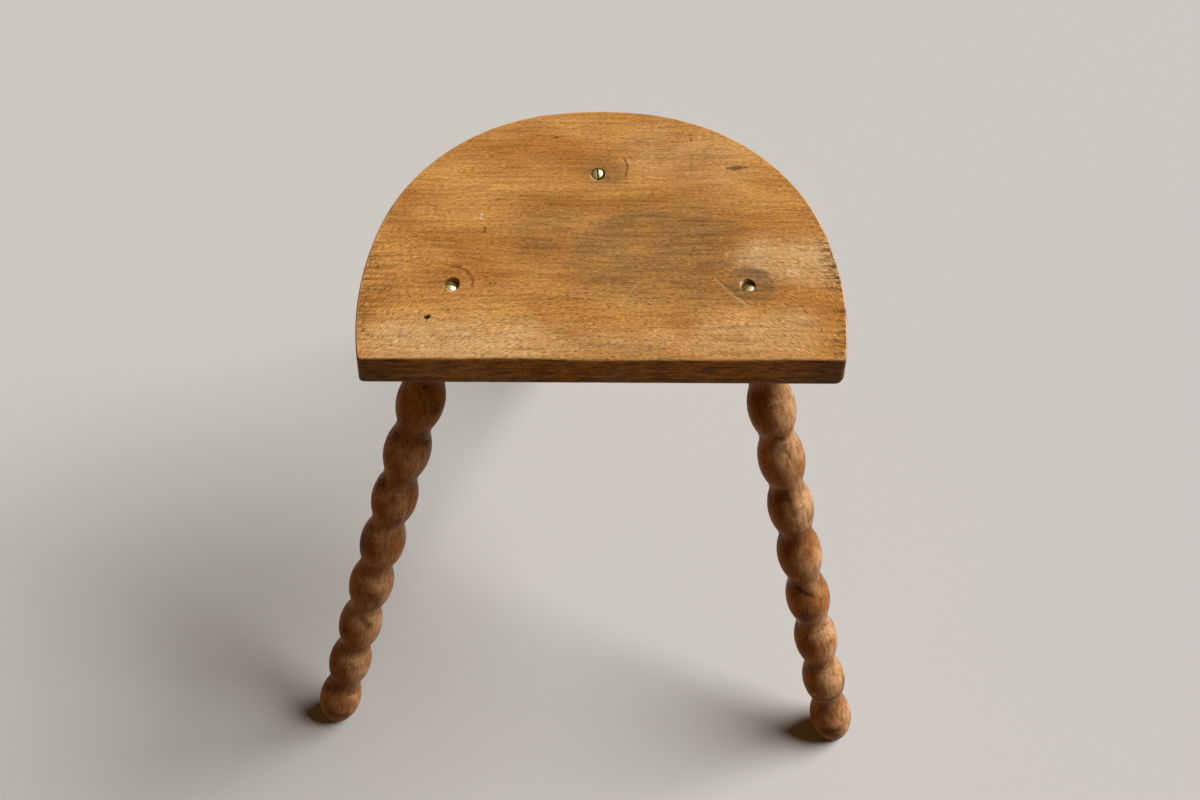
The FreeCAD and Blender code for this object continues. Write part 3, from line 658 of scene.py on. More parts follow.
@dataclass(frozen=True)
class LegFinish:
    """Redder waxed wood with dark patina in the hollows."""

    light: Colour = (0.70, 0.395, 0.19)
    dark: Colour = (0.43, 0.17, 0.055)
    patina: Colour = (0.10, 0.036, 0.010)
    soot: Colour = (0.020, 0.011, 0.006)
    foot: Colour = (0.070, 0.036, 0.015)
    pale: Colour = (0.74, 0.56, 0.34)
    mean_radius: float = 16.8 * MM
    foot_height: float = 10 * MM

    def material(self) -> Material:
        """Make the legs' wood, which follows each leg's own axis.

        Returns:
            The material.
        """
        material, canvas, shader = new_material("leg_wood")
        local = canvas.attribute(TurnedLeg.PLACE, "Vector")
        neck = canvas.attribute(TurnedLeg.NECK)
        grain = canvas.group(SharedEffects.GRAIN, {"Vector": local, "Fleck Vector": local})
        gloss = canvas.ramp(canvas.noise(local, (30.0, 60.0, 60.0), 3.0), 0.3, 0.75, 0.36, 0.55)
        ridges = canvas.math("MULTIPLY", canvas.noise(local, (1000.0, 8.0, 8.0), 2.0, 0.6), 0.5)
        height = canvas.math("ADD", ridges, canvas.math("MULTIPLY", grain["Fleck"], 0.4))
        canvas.give(shader, {
            "Base Color": self._colour(canvas, local, neck, grain),
            "Roughness": gloss,
            "Normal": canvas.bump(height, 0.30, 0.25 * MM),
            "Specular IOR Level": 0.06,
            "Specular Tint": WAX,
        })
        return material

    def _unrolled(self, canvas: Canvas, local: Socket) -> Socket:
        """Unroll a leg's skin onto a plane: along the axis, then round it.

        Args:
            canvas: the material's canvas.
            local: the place along the leg.

        Returns:
            The place on the plane.
        """
        parts = canvas.split(local)
        turn = canvas.math("ARCTAN2", parts["Z"], parts["Y"])
        feeds = {"X": parts["X"], "Y": canvas.math("MULTIPLY", turn, self.mean_radius)}
        return canvas.add("ShaderNodeCombineXYZ", feeds).outputs[0]

    def _colour(self, canvas: Canvas, local: Socket, neck: Socket, grain: Outputs) -> Socket:
        """Figure, patina, soot, single marks, one of them painted shade under the seat, and feet darker
        towards the floor.

        Args:
            canvas: the material's canvas.
            local: the place along the leg.
            neck: how deep in a hollow the place is.
            grain: the grain group's outputs.

        Returns:
            The colour.
        """
        cloud = canvas.noise(local, (28.0, 38.0, 38.0), 4.0, 0.6)
        colour = canvas.mix(canvas.ramp(cloud, 0.34, 0.64), self.dark, self.light)
        streak = canvas.ramp(grain["Streak"], 0.30, 0.62, 0.68, 1.16)
        pits = canvas.ramp(grain["Fleck"], 0.30, 0.48, 0.70, 1.0)
        ridges = canvas.ramp(canvas.noise(local, (900.0, 8.0, 8.0), 2.0, 0.6), 0.35, 0.65, 0.86, 1.10)
        colour = canvas.tint(colour, streak, pits, ridges)
        near = ragged(canvas, self._unrolled(canvas, local))
        blotch = canvas.ramp(canvas.noise(local, (36.0, 48.0, 48.0), 3.0, 0.6), 0.54, 0.72, 0.0, 0.75)
        specks = canvas.ramp(canvas.noise(local, (140.0, 260.0, 260.0), 3.0, 0.65), 0.53, 0.70, 0.0, 0.45)
        hollow = canvas.math("MULTIPLY", neck, canvas.ramp(cloud, 0.3, 0.7, 0.55, 0.05))
        aged_and_shaded = canvas.math("MAXIMUM", canvas.math("MAXIMUM", blotch, specks), hollow)
        # The legs' stain marks, one of them patina with painted shade under the seat
        aged_and_shaded = canvas.math("MAXIMUM", aged_and_shaded, mark_mask(canvas, near, LEG_MARKS, MarkKind.STAIN_AND_SHADE), True)
        colour = canvas.mix(aged_and_shaded, colour, self.patina)
        shifted = canvas.vector("ADD", local, (3.0, 1.0, 2.0))
        spot = canvas.ramp(canvas.noise(shifted, (55.0, 85.0, 85.0), 4.0, 0.65), 0.66, 0.76, 0.0, 0.85)
        spot = canvas.math("MAXIMUM", spot, mark_mask(canvas, near, LEG_MARKS, MarkKind.GRIME), True)
        colour = canvas.mix(spot, colour, self.soot)
        colour = canvas.mix(mark_mask(canvas, near, LEG_MARKS, MarkKind.POLISH_AND_SHEEN), colour, self.pale)
        place = canvas.add("ShaderNodeTexCoord").outputs["Object"]
        # Darker towards the floor
        low = canvas.ramp(canvas.split(place)["Z"], 0.0, self.foot_height, 0.85, 0.0)
        return canvas.mix(low, colour, self.foot)


@dataclass(frozen=True)
class BrassFinish:
    """Old brass, tarnished in its corners, and painted bright on the side towards the right as a highlight.
    """

    bright: Colour = (0.86, 0.73, 0.40)
    tarnish: Colour = (0.40, 0.32, 0.10)
    dirt: Colour = (0.020, 0.013, 0.006)

    def material(self) -> Material:
        """Make the screws' brass.

        Returns:
            The material.
        """
        material, canvas, shader = new_material("screw_brass")
        place = canvas.add("ShaderNodeTexCoord").outputs["Object"]
        rub = canvas.attribute(WoodScrew.LIT_SIDE)
        dirt = canvas.attribute(WoodScrew.DIRT)
        spots = canvas.noise(place, (420.0, 420.0, 420.0), 4.0, 0.65)
        # The side towards the right is painted bright as a highlight, broken by tarnish spots
        worn = canvas.ramp(canvas.math("SUBTRACT", rub, canvas.math("MULTIPLY", spots, 0.6)), -0.1, 0.5)
        colour = canvas.mix(worn, self.tarnish, self.bright)
        scuffs = canvas.noise(place, (2600.0, 900.0, 900.0), 2.0)
        canvas.give(shader, {
            "Base Color": canvas.mix(dirt, colour, self.dirt),
            "Roughness": canvas.ramp(worn, 0.0, 1.0, 0.55, 0.30),
            "Metallic": canvas.math("SUBTRACT", 1.0, dirt),
            "Normal": canvas.bump(scuffs, 0.25, 0.1 * MM),
        })
        return material


def pull(bm: BMesh, edges: Loop) -> tuple[list[Vert], Loop]:
    """Extrude a loop of edges in place.

    Args:
        bm: the mesh.
        edges: the loop.

    Returns:
        The new loop's vertices and edges, which lie on the old ones.
    """
    made = bmesh.ops.extrude_edge_only(bm, edges=edges)["geom"]
    verts = [g for g in made if isinstance(g, Vert)]
    loop = [g for g in made if isinstance(g, Edge)]
    fresh = set(verts)
    return verts, [e for e in loop if e.verts[0] in fresh and e.verts[1] in fresh]


def cap(bm: BMesh, edges: Loop) -> None:
    """Close a loop of edges with a fan of triangles."""
    faces = bmesh.ops.contextual_create(bm, geom=edges)["faces"]
    bmesh.ops.poke(bm, faces=faces)


def spin_outline(bm: BMesh, points: list[tuple[float, float]], segments: int) -> None:
    """Draw half an outline and spin it round the Z axis.

    Args:
        bm: the empty mesh.
        points: radius and height of each point.
        segments: how many steps the turn has.
    """
    last = bm.verts.new((points[0][0], 0.0, points[0][1]))
    for radius, height in points[1:]:
        last = bmesh.ops.extrude_vert_indiv(bm, verts=[last])["verts"][0]
        last.co = (radius, 0.0, height)
    bmesh.ops.spin(bm, geom=bm.verts[:] + bm.edges[:], cent=(0, 0, 0), axis=(0, 0, 1), angle=FULL_TURN,
                   steps=segments, use_merge=True)


def put_in_scene(name: str, data: bpy.types.ID) -> Piece:
    """Make an object and link it to the scene.

    Args:
        name: the object's name.
        data: its mesh, lamp or camera.

    Returns:
        The object.
    """
    item = bpy.data.objects.new(name, data)
    bpy.context.scene.collection.objects.link(item)
    return item


def new_piece(bm: BMesh, node: str, material: Material) -> Piece:
    """Turn a finished mesh into a piece that stands for a node.

    Args:
        bm: the finished mesh, in the frame.
        node: the node that it stands for.
        material: its finish.

    Returns:
        The piece.
    """
    bmesh.ops.recalc_face_normals(bm, faces=bm.faces)
    mesh = bpy.data.meshes.new(node + "_dressed")
    bm.to_mesh(mesh)
    bm.free()
    mesh.shade_smooth()
    mesh.set_sharp_from_angle(angle=SHARP_EDGE)
    mesh.materials.append(material)
    piece = put_in_scene(mesh.name, mesh)
    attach(piece, BODY)
    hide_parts(node)
    log.info("%s: %d vertices", piece.name, len(mesh.vertices))
    return piece


@dataclass(frozen=True)
class LegAxis:
    """The line down the middle of one leg, through its socket in the seat."""

    corner: Corner
    top: Vector
    bearing: float
    splay: float
    thickness: float

    def matrix(self) -> Matrix:
        """Work out the leg's own frame.

        Returns:
            The frame, with its origin on the seat's underside and +Z up the axis.
        """
        reach = self.thickness * math.tan(self.splay)
        out = Vector((math.cos(self.bearing), math.sin(self.bearing), 0.0))
        origin = self.top + out * reach - Vector((0.0, 0.0, self.thickness))
        turn = Matrix.Rotation(self.bearing, 4, "Z") @ Matrix.Rotation(-self.splay, 4, "Y")
        return Matrix.Translation(origin) @ turn


@dataclass
class SeatBoard:
    """The half-moon board, with worn edges, bored holes and sockets."""

    WALL = "wall"
    UNDER = "under"
    ARRIS = "arris"
    INSIDE = "inside"
    TORN = "torn"
    BRUISED_AND_SHADED = "bruised"
    LAYERS = (WALL, UNDER, ARRIS, INSIDE, TORN, BRUISED_AND_SHADED)

    node: str = "seat"
    slot: str = "seat_wood"
    width: float = 345 * MM
    depth: float = 217 * MM
    widest_line: float = 38 * MM
    side_turn: float = math.radians(18.7)
    back_turn: float = math.radians(18.6)
    back_radius: float = 248 * MM
    rim_lean: float = math.radians(4.5)
    corner_round: float = 3 * MM
    edge_round: float = 1.5 * MM
    socket_spacing: float = 210 * MM
    socket_setback: float = 62 * MM
    socket_shift: float = -1 * MM
    back_setback: float = 58.5 * MM
    back_shift: float = -3 * MM
    splay: float = math.radians(23.4)
    bearings: tuple[float, float, float] = (229.9, 302.7, 90.0)
    recess_radius: float = 5.2 * MM
    head_radius: float = 4.2 * MM
    head_edge_depth: float = 0.2 * MM
    head_hole: float = 4.3 * MM
    shank_hole: float = 2.2 * MM
    socket_radius: float = 9.6 * MM
    socket_depth: float = 18.5 * MM
    # The torn lip of each recess: where it starts and ends, in degrees, and its width in millimetres
    lips: tuple[Lip, ...] = ((215.0, 325.0, 1.5), (120.0, 215.0, 0.7), (175.0, 275.0, 0.7))
    lip_fade: float = math.radians(25)
    wave_depth: float = 0.45 * MM
    rough_depth: float = 0.35 * MM
    chip_depth: float = 1.6 * MM
    knock_reach: float = 9 * MM
    knock_depth: float = 1.7 * MM
    sag: float = 0.12 * MM
    true_reach: float = 12 * MM
    edge_rings: int = 5
    wall_rings: int = 11
    top_rings: int = 46
    under_rings: int = 24
    step: float = 2.4 * MM
    hole_segments: int = 72
    finish: SeatFinish = field(default_factory=SeatFinish)

    def __post_init__(self) -> None:
        """Find the board in the frame."""
        low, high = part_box(self.node)
        self.thickness = high.z - low.z
        self.middle = Vector(((low.x + high.x) / 2, low.y, high.z))
        self.recess_depth = self.head_radius * math.tan(self.splay) + self.head_edge_depth

    def axes(self) -> list[LegAxis]:
        """Find the legs' lines.

        Returns:
            The three leg axes.
        """
        half = self.socket_spacing / 2
        tops = (
            (self.socket_shift - half, self.socket_setback),
            (self.socket_shift + half, self.socket_setback),
            (self.back_shift, self.depth - self.back_setback),
        )
        return [
            LegAxis(corner, self.middle + Vector((x, y, 0.0)), math.radians(turn), self.splay, self.thickness)
            for corner, (x, y), turn in zip(Corner, tops, self.bearings)
        ]

    def _rim_radii(self) -> tuple[float, float]:
        """Work out the arcs that join the rim's widest point to the back arc.

        Returns:
            The radii of the side arc and the shoulder arc.
        """
        across = self.width / 2 - self.back_radius * math.sin(self.back_turn / 2)
        back = self.depth - self.widest_line - self.back_radius * (1 - math.cos(self.back_turn / 2))
        side = (1 - math.cos(self.side_turn), math.sin(self.side_turn))
        shoulder = (
            math.cos(self.side_turn) - math.sin(self.back_turn / 2),
            math.cos(self.back_turn / 2) - math.sin(self.side_turn),
        )
        divisor = shoulder[0] * side[1] - side[0] * shoulder[1]
        return (
            (shoulder[0] * back - across * shoulder[1]) / divisor,
            (across * side[1] - side[0] * back) / divisor,
        )

    def _outline(self, bm: BMesh) -> Loop:
        """Draw the top's outline: half the front edge, then arcs swept by spinning, then its mirror image.

        Args:
            bm: the empty mesh.

        Returns:
            The closed loop of edges, with the seat's front middle at the origin.
        """
        side_radius, shoulder_radius = self._rim_radii()
        side_middle = Vector((self.width / 2 - side_radius, self.widest_line, 0.0))
        front_turn = math.asin((self.widest_line - self.corner_round) / (side_radius - self.corner_round))
        corner_x = side_middle.x + (side_radius - self.corner_round) * math.cos(front_turn)
        corner_middle = Vector((corner_x, self.corner_round, 0.0))
        turned = Vector((math.cos(self.side_turn), math.sin(self.side_turn), 0.0))
        shoulder_middle = side_middle + turned * (side_radius - shoulder_radius)
        back_middle = Vector((0.0, self.depth - self.back_radius, 0.0))
        arcs = (
            (corner_middle, math.pi / 2 - front_turn, self.corner_round),
            (side_middle, front_turn + self.side_turn, side_radius),
            (shoulder_middle, math.pi / 2 - self.back_turn / 2 - self.side_turn, shoulder_radius),
            (back_middle, self.back_turn / 2, self.back_radius),
        )
        last = bm.verts.new((0.0, 0.0, 0.0))
        front_steps = round(corner_middle.x / self.step)
        for _ in range(front_steps):
            last = bmesh.ops.extrude_vert_indiv(bm, verts=[last])["verts"][0]
            last.co.x += corner_middle.x / front_steps
        for middle, turn, radius in arcs:
            steps = max(4, round(turn * radius / self.step))
            spun = bmesh.ops.spin(bm, geom=[last], cent=middle, axis=(0, 0, 1), angle=turn, steps=steps)
            last = next(g for g in spun["geom_last"] if isinstance(g, Vert))
        bmesh.ops.mirror(bm, geom=bm.verts[:] + bm.edges[:], merge_dist=0.1 * MM, axis="X")
        bmesh.ops.remove_doubles(bm, verts=bm.verts, dist=0.05 * MM)
        return bm.edges[:]

    def _remember(self, bm: BMesh) -> None:
        """Keep on each vertex of the outline its place and the way out of the board.

        Args:
            bm: the mesh, which holds only the outline.
        """
        self.home = bm.verts.layers.float_vector.new("home")
        self.out = bm.verts.layers.float_vector.new("out")
        layers = [bm.verts.layers.float.new(name) for name in self.LAYERS]
        self.wall, self.under, self.arris, self.inside, self.torn, self.bruised = layers
        for vert in bm.verts:
            ends = [e.other_vert(vert).co for e in vert.link_edges]
            across = (ends[1] - ends[0]).normalized()
            out = Vector((across.y, -across.x, 0.0))
            if out.dot(vert.co - Vector((0.0, self.depth / 2, 0.0))) < 0:
                out.negate()
            vert[self.home] = vert.co
            vert[self.out] = out

    def _place(self, vert: Vert, inset: float, drop: float) -> Vector:
        """Find a point of the rim.

        Args:
            vert: a vertex that remembers its place on the outline.
            inset: how far inside the wall's face it lies.
            drop: how far below the top it lies.

        Returns:
            The point, with the rim's lean and the front edge's waves.
        """
        home, out = vert[self.home], vert[self.out]
        rim_share = min(1.0, max(0.0, 1.0 + out.y))
        lean = drop * math.tan(self.rim_lean) * rim_share
        front_share = max(0.0, -out.y) ** 4
        ripple = math.sin(home.x * 31.0 + 0.6) + 0.6 * math.sin(home.x * 67.0 + 2.0) - 1.6
        wave = self.wave_depth * ripple * (front_share * (1.0 - drop / self.thickness))
        return home + out * (lean - inset + wave) - Vector((0.0, 0.0, drop))

    def _rings(self) -> list[tuple[float, float, float, float, float]]:
        """List the rings from the top arris to the underside.

        Returns:
            Inset, drop, wall, under and arris of each ring.
        """
        rings = []
        turns = self.edge_rings
        for i in range(1, turns + 1):
            angle = math.pi / 2 * i / turns
            inset, drop = self.edge_round * (1 - math.sin(angle)), self.edge_round * (1 - math.cos(angle))
            rings.append((inset, drop, (i / turns) ** 2, 0.0, math.sin(2 * angle)))
        wall_height = self.thickness - 2 * self.edge_round
        for i in range(1, self.wall_rings + 1):
            rings.append((0.0, self.edge_round + wall_height * i / self.wall_rings, 1.0, 0.0, 0.0))
        for i in range(1, turns + 1):
            angle = math.pi / 2 * i / turns
            inset = self.edge_round * (1 - math.cos(angle))
            drop = self.thickness - self.edge_round * (1 - math.sin(angle))
            rings.append((inset, drop, 1.0 - i / turns, i / turns, 0.6 * math.sin(2 * angle)))
        return rings

    def _skin(self, bm: BMesh, outline: Loop) -> None:
        """Draw the board's skin out of its outline, ring by ring.

        Args:
            bm: the mesh.
            outline: the loop of edges.
        """
        for vert in bm.verts:
            vert.co = self._place(vert, self.edge_round, 0.0)
        loop = outline
        for inset, drop, wall, under, arris in self._rings():
            verts, loop = pull(bm, loop)
            for vert in verts:
                vert.co = self._place(vert, inset, drop)
                vert[self.wall], vert[self.under], vert[self.arris] = wall, under, arris
        self._close(bm, loop, self.thickness, self.under_rings)
        self._close(bm, outline, 0.0, self.top_rings)

    def _close(self, bm: BMesh, loop: Loop, drop: float, count: int) -> None:
        """Close one face of the board with rings that shrink to its middle.

        Args:
            bm: the mesh.
            loop: the face's border.
            drop: how far below the top the face lies.
            count: how many rings.
        """
        middle = Vector((0.0, self.depth * 0.46, -drop))
        for i in range(1, count):
            verts, loop = pull(bm, loop)
            for vert in verts:
                home = self._place(vert, self.edge_round, drop)
                vert.co = middle.lerp(home, 1 - i / count)
                vert[self.under] = 1.0 if drop else 0.0
                vert[self.arris] = 0.0
        cap(bm, loop)

    def _bore(self, bm: BMesh, axis: LegAxis) -> None:
        """Bore one stepped hole down a leg's axis, from the screw's recess to the tenon's socket.

        Args:
            bm: the mesh, with the seat's front middle at the origin.
            axis: the leg's axis.
        """
        place = Matrix.Translation(-self.middle) @ axis.matrix()
        floor = self.thickness / math.cos(self.splay) - self.recess_depth
        cone = self.head_hole - self.shank_hole
        steps = (
            (self.head_hole, floor), (self.shank_hole, floor - cone), (self.shank_hole, self.socket_depth),
            (self.socket_radius, self.socket_depth), (self.socket_radius, None),
        )
        under_border = self._open(bm, place, -self.thickness, self.socket_radius)
        loop = self._mouth(bm, axis, place, floor)
        for radius, height in steps:
            verts, loop = pull(bm, loop)
            for vert in verts:
                local = place.inverted() @ vert.co
                if height is None:
                    vert.co = self._bored(place, local, radius, -self.thickness)
                else:
                    flat = Vector((local.x, local.y, 0.0)).normalized() * radius
                    vert.co = place @ Vector((flat.x, flat.y, height))
                vert[self.inside], vert[self.torn] = 1.0, 0.0
        bmesh.ops.triangle_fill(bm, edges=under_border + loop, use_beauty=True, normal=(0.0, 0.0, -1.0))

    def _mouth(self, bm: BMesh, axis: LegAxis, place: Matrix, floor: float) -> Loop:
        """Draw a recess's mouth, torn on one side, and its wall.

        Args:
            bm: the mesh, with the seat's front middle at the origin.
            axis: the leg's axis.
            place: the leg's frame.
            floor: the height of the recess's floor in that frame.

        Returns:
            The wall's lower edge, on the recess's floor.
        """
        border = self._open(bm, place, 0.0, self.recess_radius)
        ring = bmesh.ops.create_circle(bm, segments=self.hole_segments, radius=self.recess_radius)["verts"]
        loop = list(dict.fromkeys(e for v in ring for e in v.link_edges))
        turns = {vert: math.atan2(vert.co.y, vert.co.x) for vert in ring}
        run_out = self.recess_depth / math.tan(self.splay) - 0.05 * MM
        wide_lip = self.lips[list(Corner).index(axis.corner)][2]
        rings = ((1.0, 0.0, 0.0, 0.0), (0.8, 0.1, 1.0, 0.0), (0.0, 1.0, 0.8, 0.3), (0.0, None, 0.0, 1.0))
        for wide, deep, torn, inside in rings:
            if deep != 0.0:
                old = list(turns.items())
                verts, loop = pull(bm, loop)
                turns = {v: min(old, key=lambda item: (item[0].co - v.co).length)[1] for v in verts}
            for vert, turn in turns.items():
                lip = self._lip(axis, turn)
                cos, sin = math.cos(turn), math.sin(turn)
                radius = min(self.recess_radius, run_out / max(cos, 0.01))
                frayed = 0.75 + 0.5 * noise.noise(Vector((9.0 * cos, 9.0 * sin, axis.bearing)))
                wall = Vector((cos * radius, sin * radius, floor))
                if deep is None:
                    vert.co = place @ wall
                else:
                    level = max(-deep * (0.05 + 0.40 * lip) * MM, (place @ wall).z / 2)
                    wider = wide * (0.2 + wide_lip * lip * frayed) * MM
                    vert.co = self._bored(place, wall, radius + wider, level)
                vert[self.torn], vert[self.inside] = torn * lip, inside
            if deep == 0.0:
                bmesh.ops.triangle_fill(bm, edges=border + loop, use_beauty=True, normal=(0.0, 0.0, 1.0))
        return loop

    def _lip(self, axis: LegAxis, turn: float) -> float:
        """Find how torn a recess's mouth is.

        Args:
            axis: the leg's axis.
            turn: the way round the hole from its outer side.

        Returns:
            0 for whole wood to 1 for torn wood.
        """
        start, end, _ = self.lips[list(Corner).index(axis.corner)]
        middle, half = math.radians(start + end) / 2, math.radians(end - start) / 2
        away = abs((axis.bearing + turn - middle + math.pi) % FULL_TURN - math.pi)
        return min(1.0, max(0.0, (half - away) / self.lip_fade))

    @staticmethod
    def _bored(place: Matrix, local: Vector, radius: float, level: float) -> Vector:
        """Find where a line along a slanted hole's wall meets a level face.

        Args:
            place: the leg's frame.
            local: a point that gives the way round the hole, in that frame.
            radius: the hole's radius.
            level: the face's height.

        Returns:
            The point on the face.
        """
        flat = Vector((local.x, local.y, 0.0)).normalized() * radius
        point = place @ flat
        along = place.to_3x3() @ Vector((0.0, 0.0, 1.0))
        return point + along * ((level - point.z) / along.z)

    def _open(self, bm: BMesh, place: Matrix, level: float, radius: float) -> Loop:
        """Clear the faces round a hole's mouth.

        Args:
            bm: the mesh.
            place: the leg's frame.
            level: the height of the face that the hole opens in.
            radius: the hole's radius.

        Returns:
            The border of what was cleared.
        """
        middle = self._bored(place, Vector((1.0, 0.0, 0.0)), 0.0, level)
        reach = radius / math.cos(self.splay) + self.step
        cleared = dict.fromkeys(
            f for f in bm.faces
            if max(abs(v.co.z - level) for v in f.verts) < FLAT
            and min((v.co - middle).length for v in f.verts) < reach
        )
        border = [e for f in cleared for e in f.edges if any(g not in cleared for g in e.link_faces)]
        bmesh.ops.delete(bm, geom=list(cleared), context="FACES")
        return border

    def _refine(self, bm: BMesh) -> None:
        """Make the top's mesh finer round each dent.

        Args:
            bm: the mesh, with the seat's front middle at the origin.
        """
        for mark in DENTS:
            reach = (mark.width + mark.soft) / 2 + self.step / MM
            near = [
                v for v in bm.verts
                if abs(v.co.z) < FLAT and mark.gap(v.co.x / MM, v.co.y / MM) < reach
            ]
            coarse = dict.fromkeys(
                e for v in near for f in v.link_faces for e in f.edges
                if e.calc_length() > 1 * MM and max(abs(w.co.z) for w in e.verts) < FLAT
            )
            bmesh.ops.subdivide_edges(bm, edges=list(coarse), cuts=4, use_grid_fill=True)

    def _wear(self, bm: BMesh, holes: list[Vector]) -> None:
        """Wear the edges and press the dents in.

        Args:
            bm: the mesh, with the seat's front middle at the origin.
            holes: the middles of the recesses, where the top stays true.
        """
        knocked = Vector((self.width / 2 + 1.0 * MM, 0.0, -self.thickness))
        for vert in bm.verts:
            point = vert.co.copy()
            edge = vert[self.arris]
            if edge > 0:
                rough = 0.5 + 0.5 * noise.noise(point * 260.0)
                chips = max(0.0, noise.noise(point * 75.0 + Vector((7.0, 3.0, 1.0))) - 0.25)
                upright = -1.0 if point.z > -self.thickness / 2 else 1.0
                inward = -vert[self.out] * 0.5 + Vector((0.0, 0.0, upright)) * 0.5
                vert.co += inward * edge * (self.rough_depth * rough + self.chip_depth * chips)
            near = (point - knocked).length
            if near < self.knock_reach:
                share = (1 - near / self.knock_reach) ** 1.5
                vert.co += Vector((-0.9, 0.5, 0.9)) * self.knock_depth * share
            if abs(point.z) < FLAT:
                gap = min((point - hole).length for hole in holes)
                fade = min(1.0, max(0.0, gap / self.true_reach - 1.0))
                vert.co.z -= self.sag * (1 + noise.noise(point * 22.0)) * fade
                self._press(vert, point)

    def _press(self, vert: Vert, point: Vector) -> None:
        """Press the dents into one vertex of the top, and note how dark or torn they leave it.

        Args:
            vert: the vertex.
            point: where it was before the wear.
        """
        shaken = (point + noise.noise_vector(point * 650.0) * 0.4 * MM) / MM
        for mark in DENTS:
            share = ((mark.width + mark.soft) / 2 - mark.gap(shaken.x, shaken.y)) / mark.soft
            if share > 0:
                share = min(1.0, 1.7 * share)
                layer = self.bruised if mark.kind is MarkKind.BRUISE_AND_SHADOW else self.torn
                vert[layer] = max(vert[layer], mark.strength * share)
                vert.co.z -= mark.depth * MM * share

    def build(self, axes: list[LegAxis]) -> Piece:
        """Make the seat.

        Args:
            axes: the three leg axes.

        Returns:
            The seat's piece.
        """
        bm = bmesh.new()
        outline = self._outline(bm)
        self._remember(bm)
        self._skin(bm, outline)
        for axis in axes:
            self._bore(bm, axis)
        self._refine(bm)
        self._wear(bm, [axis.top - self.middle for axis in axes])
        bmesh.ops.translate(bm, verts=bm.verts, vec=self.middle)
        return new_piece(bm, self.node, self.finish.material(self.middle))


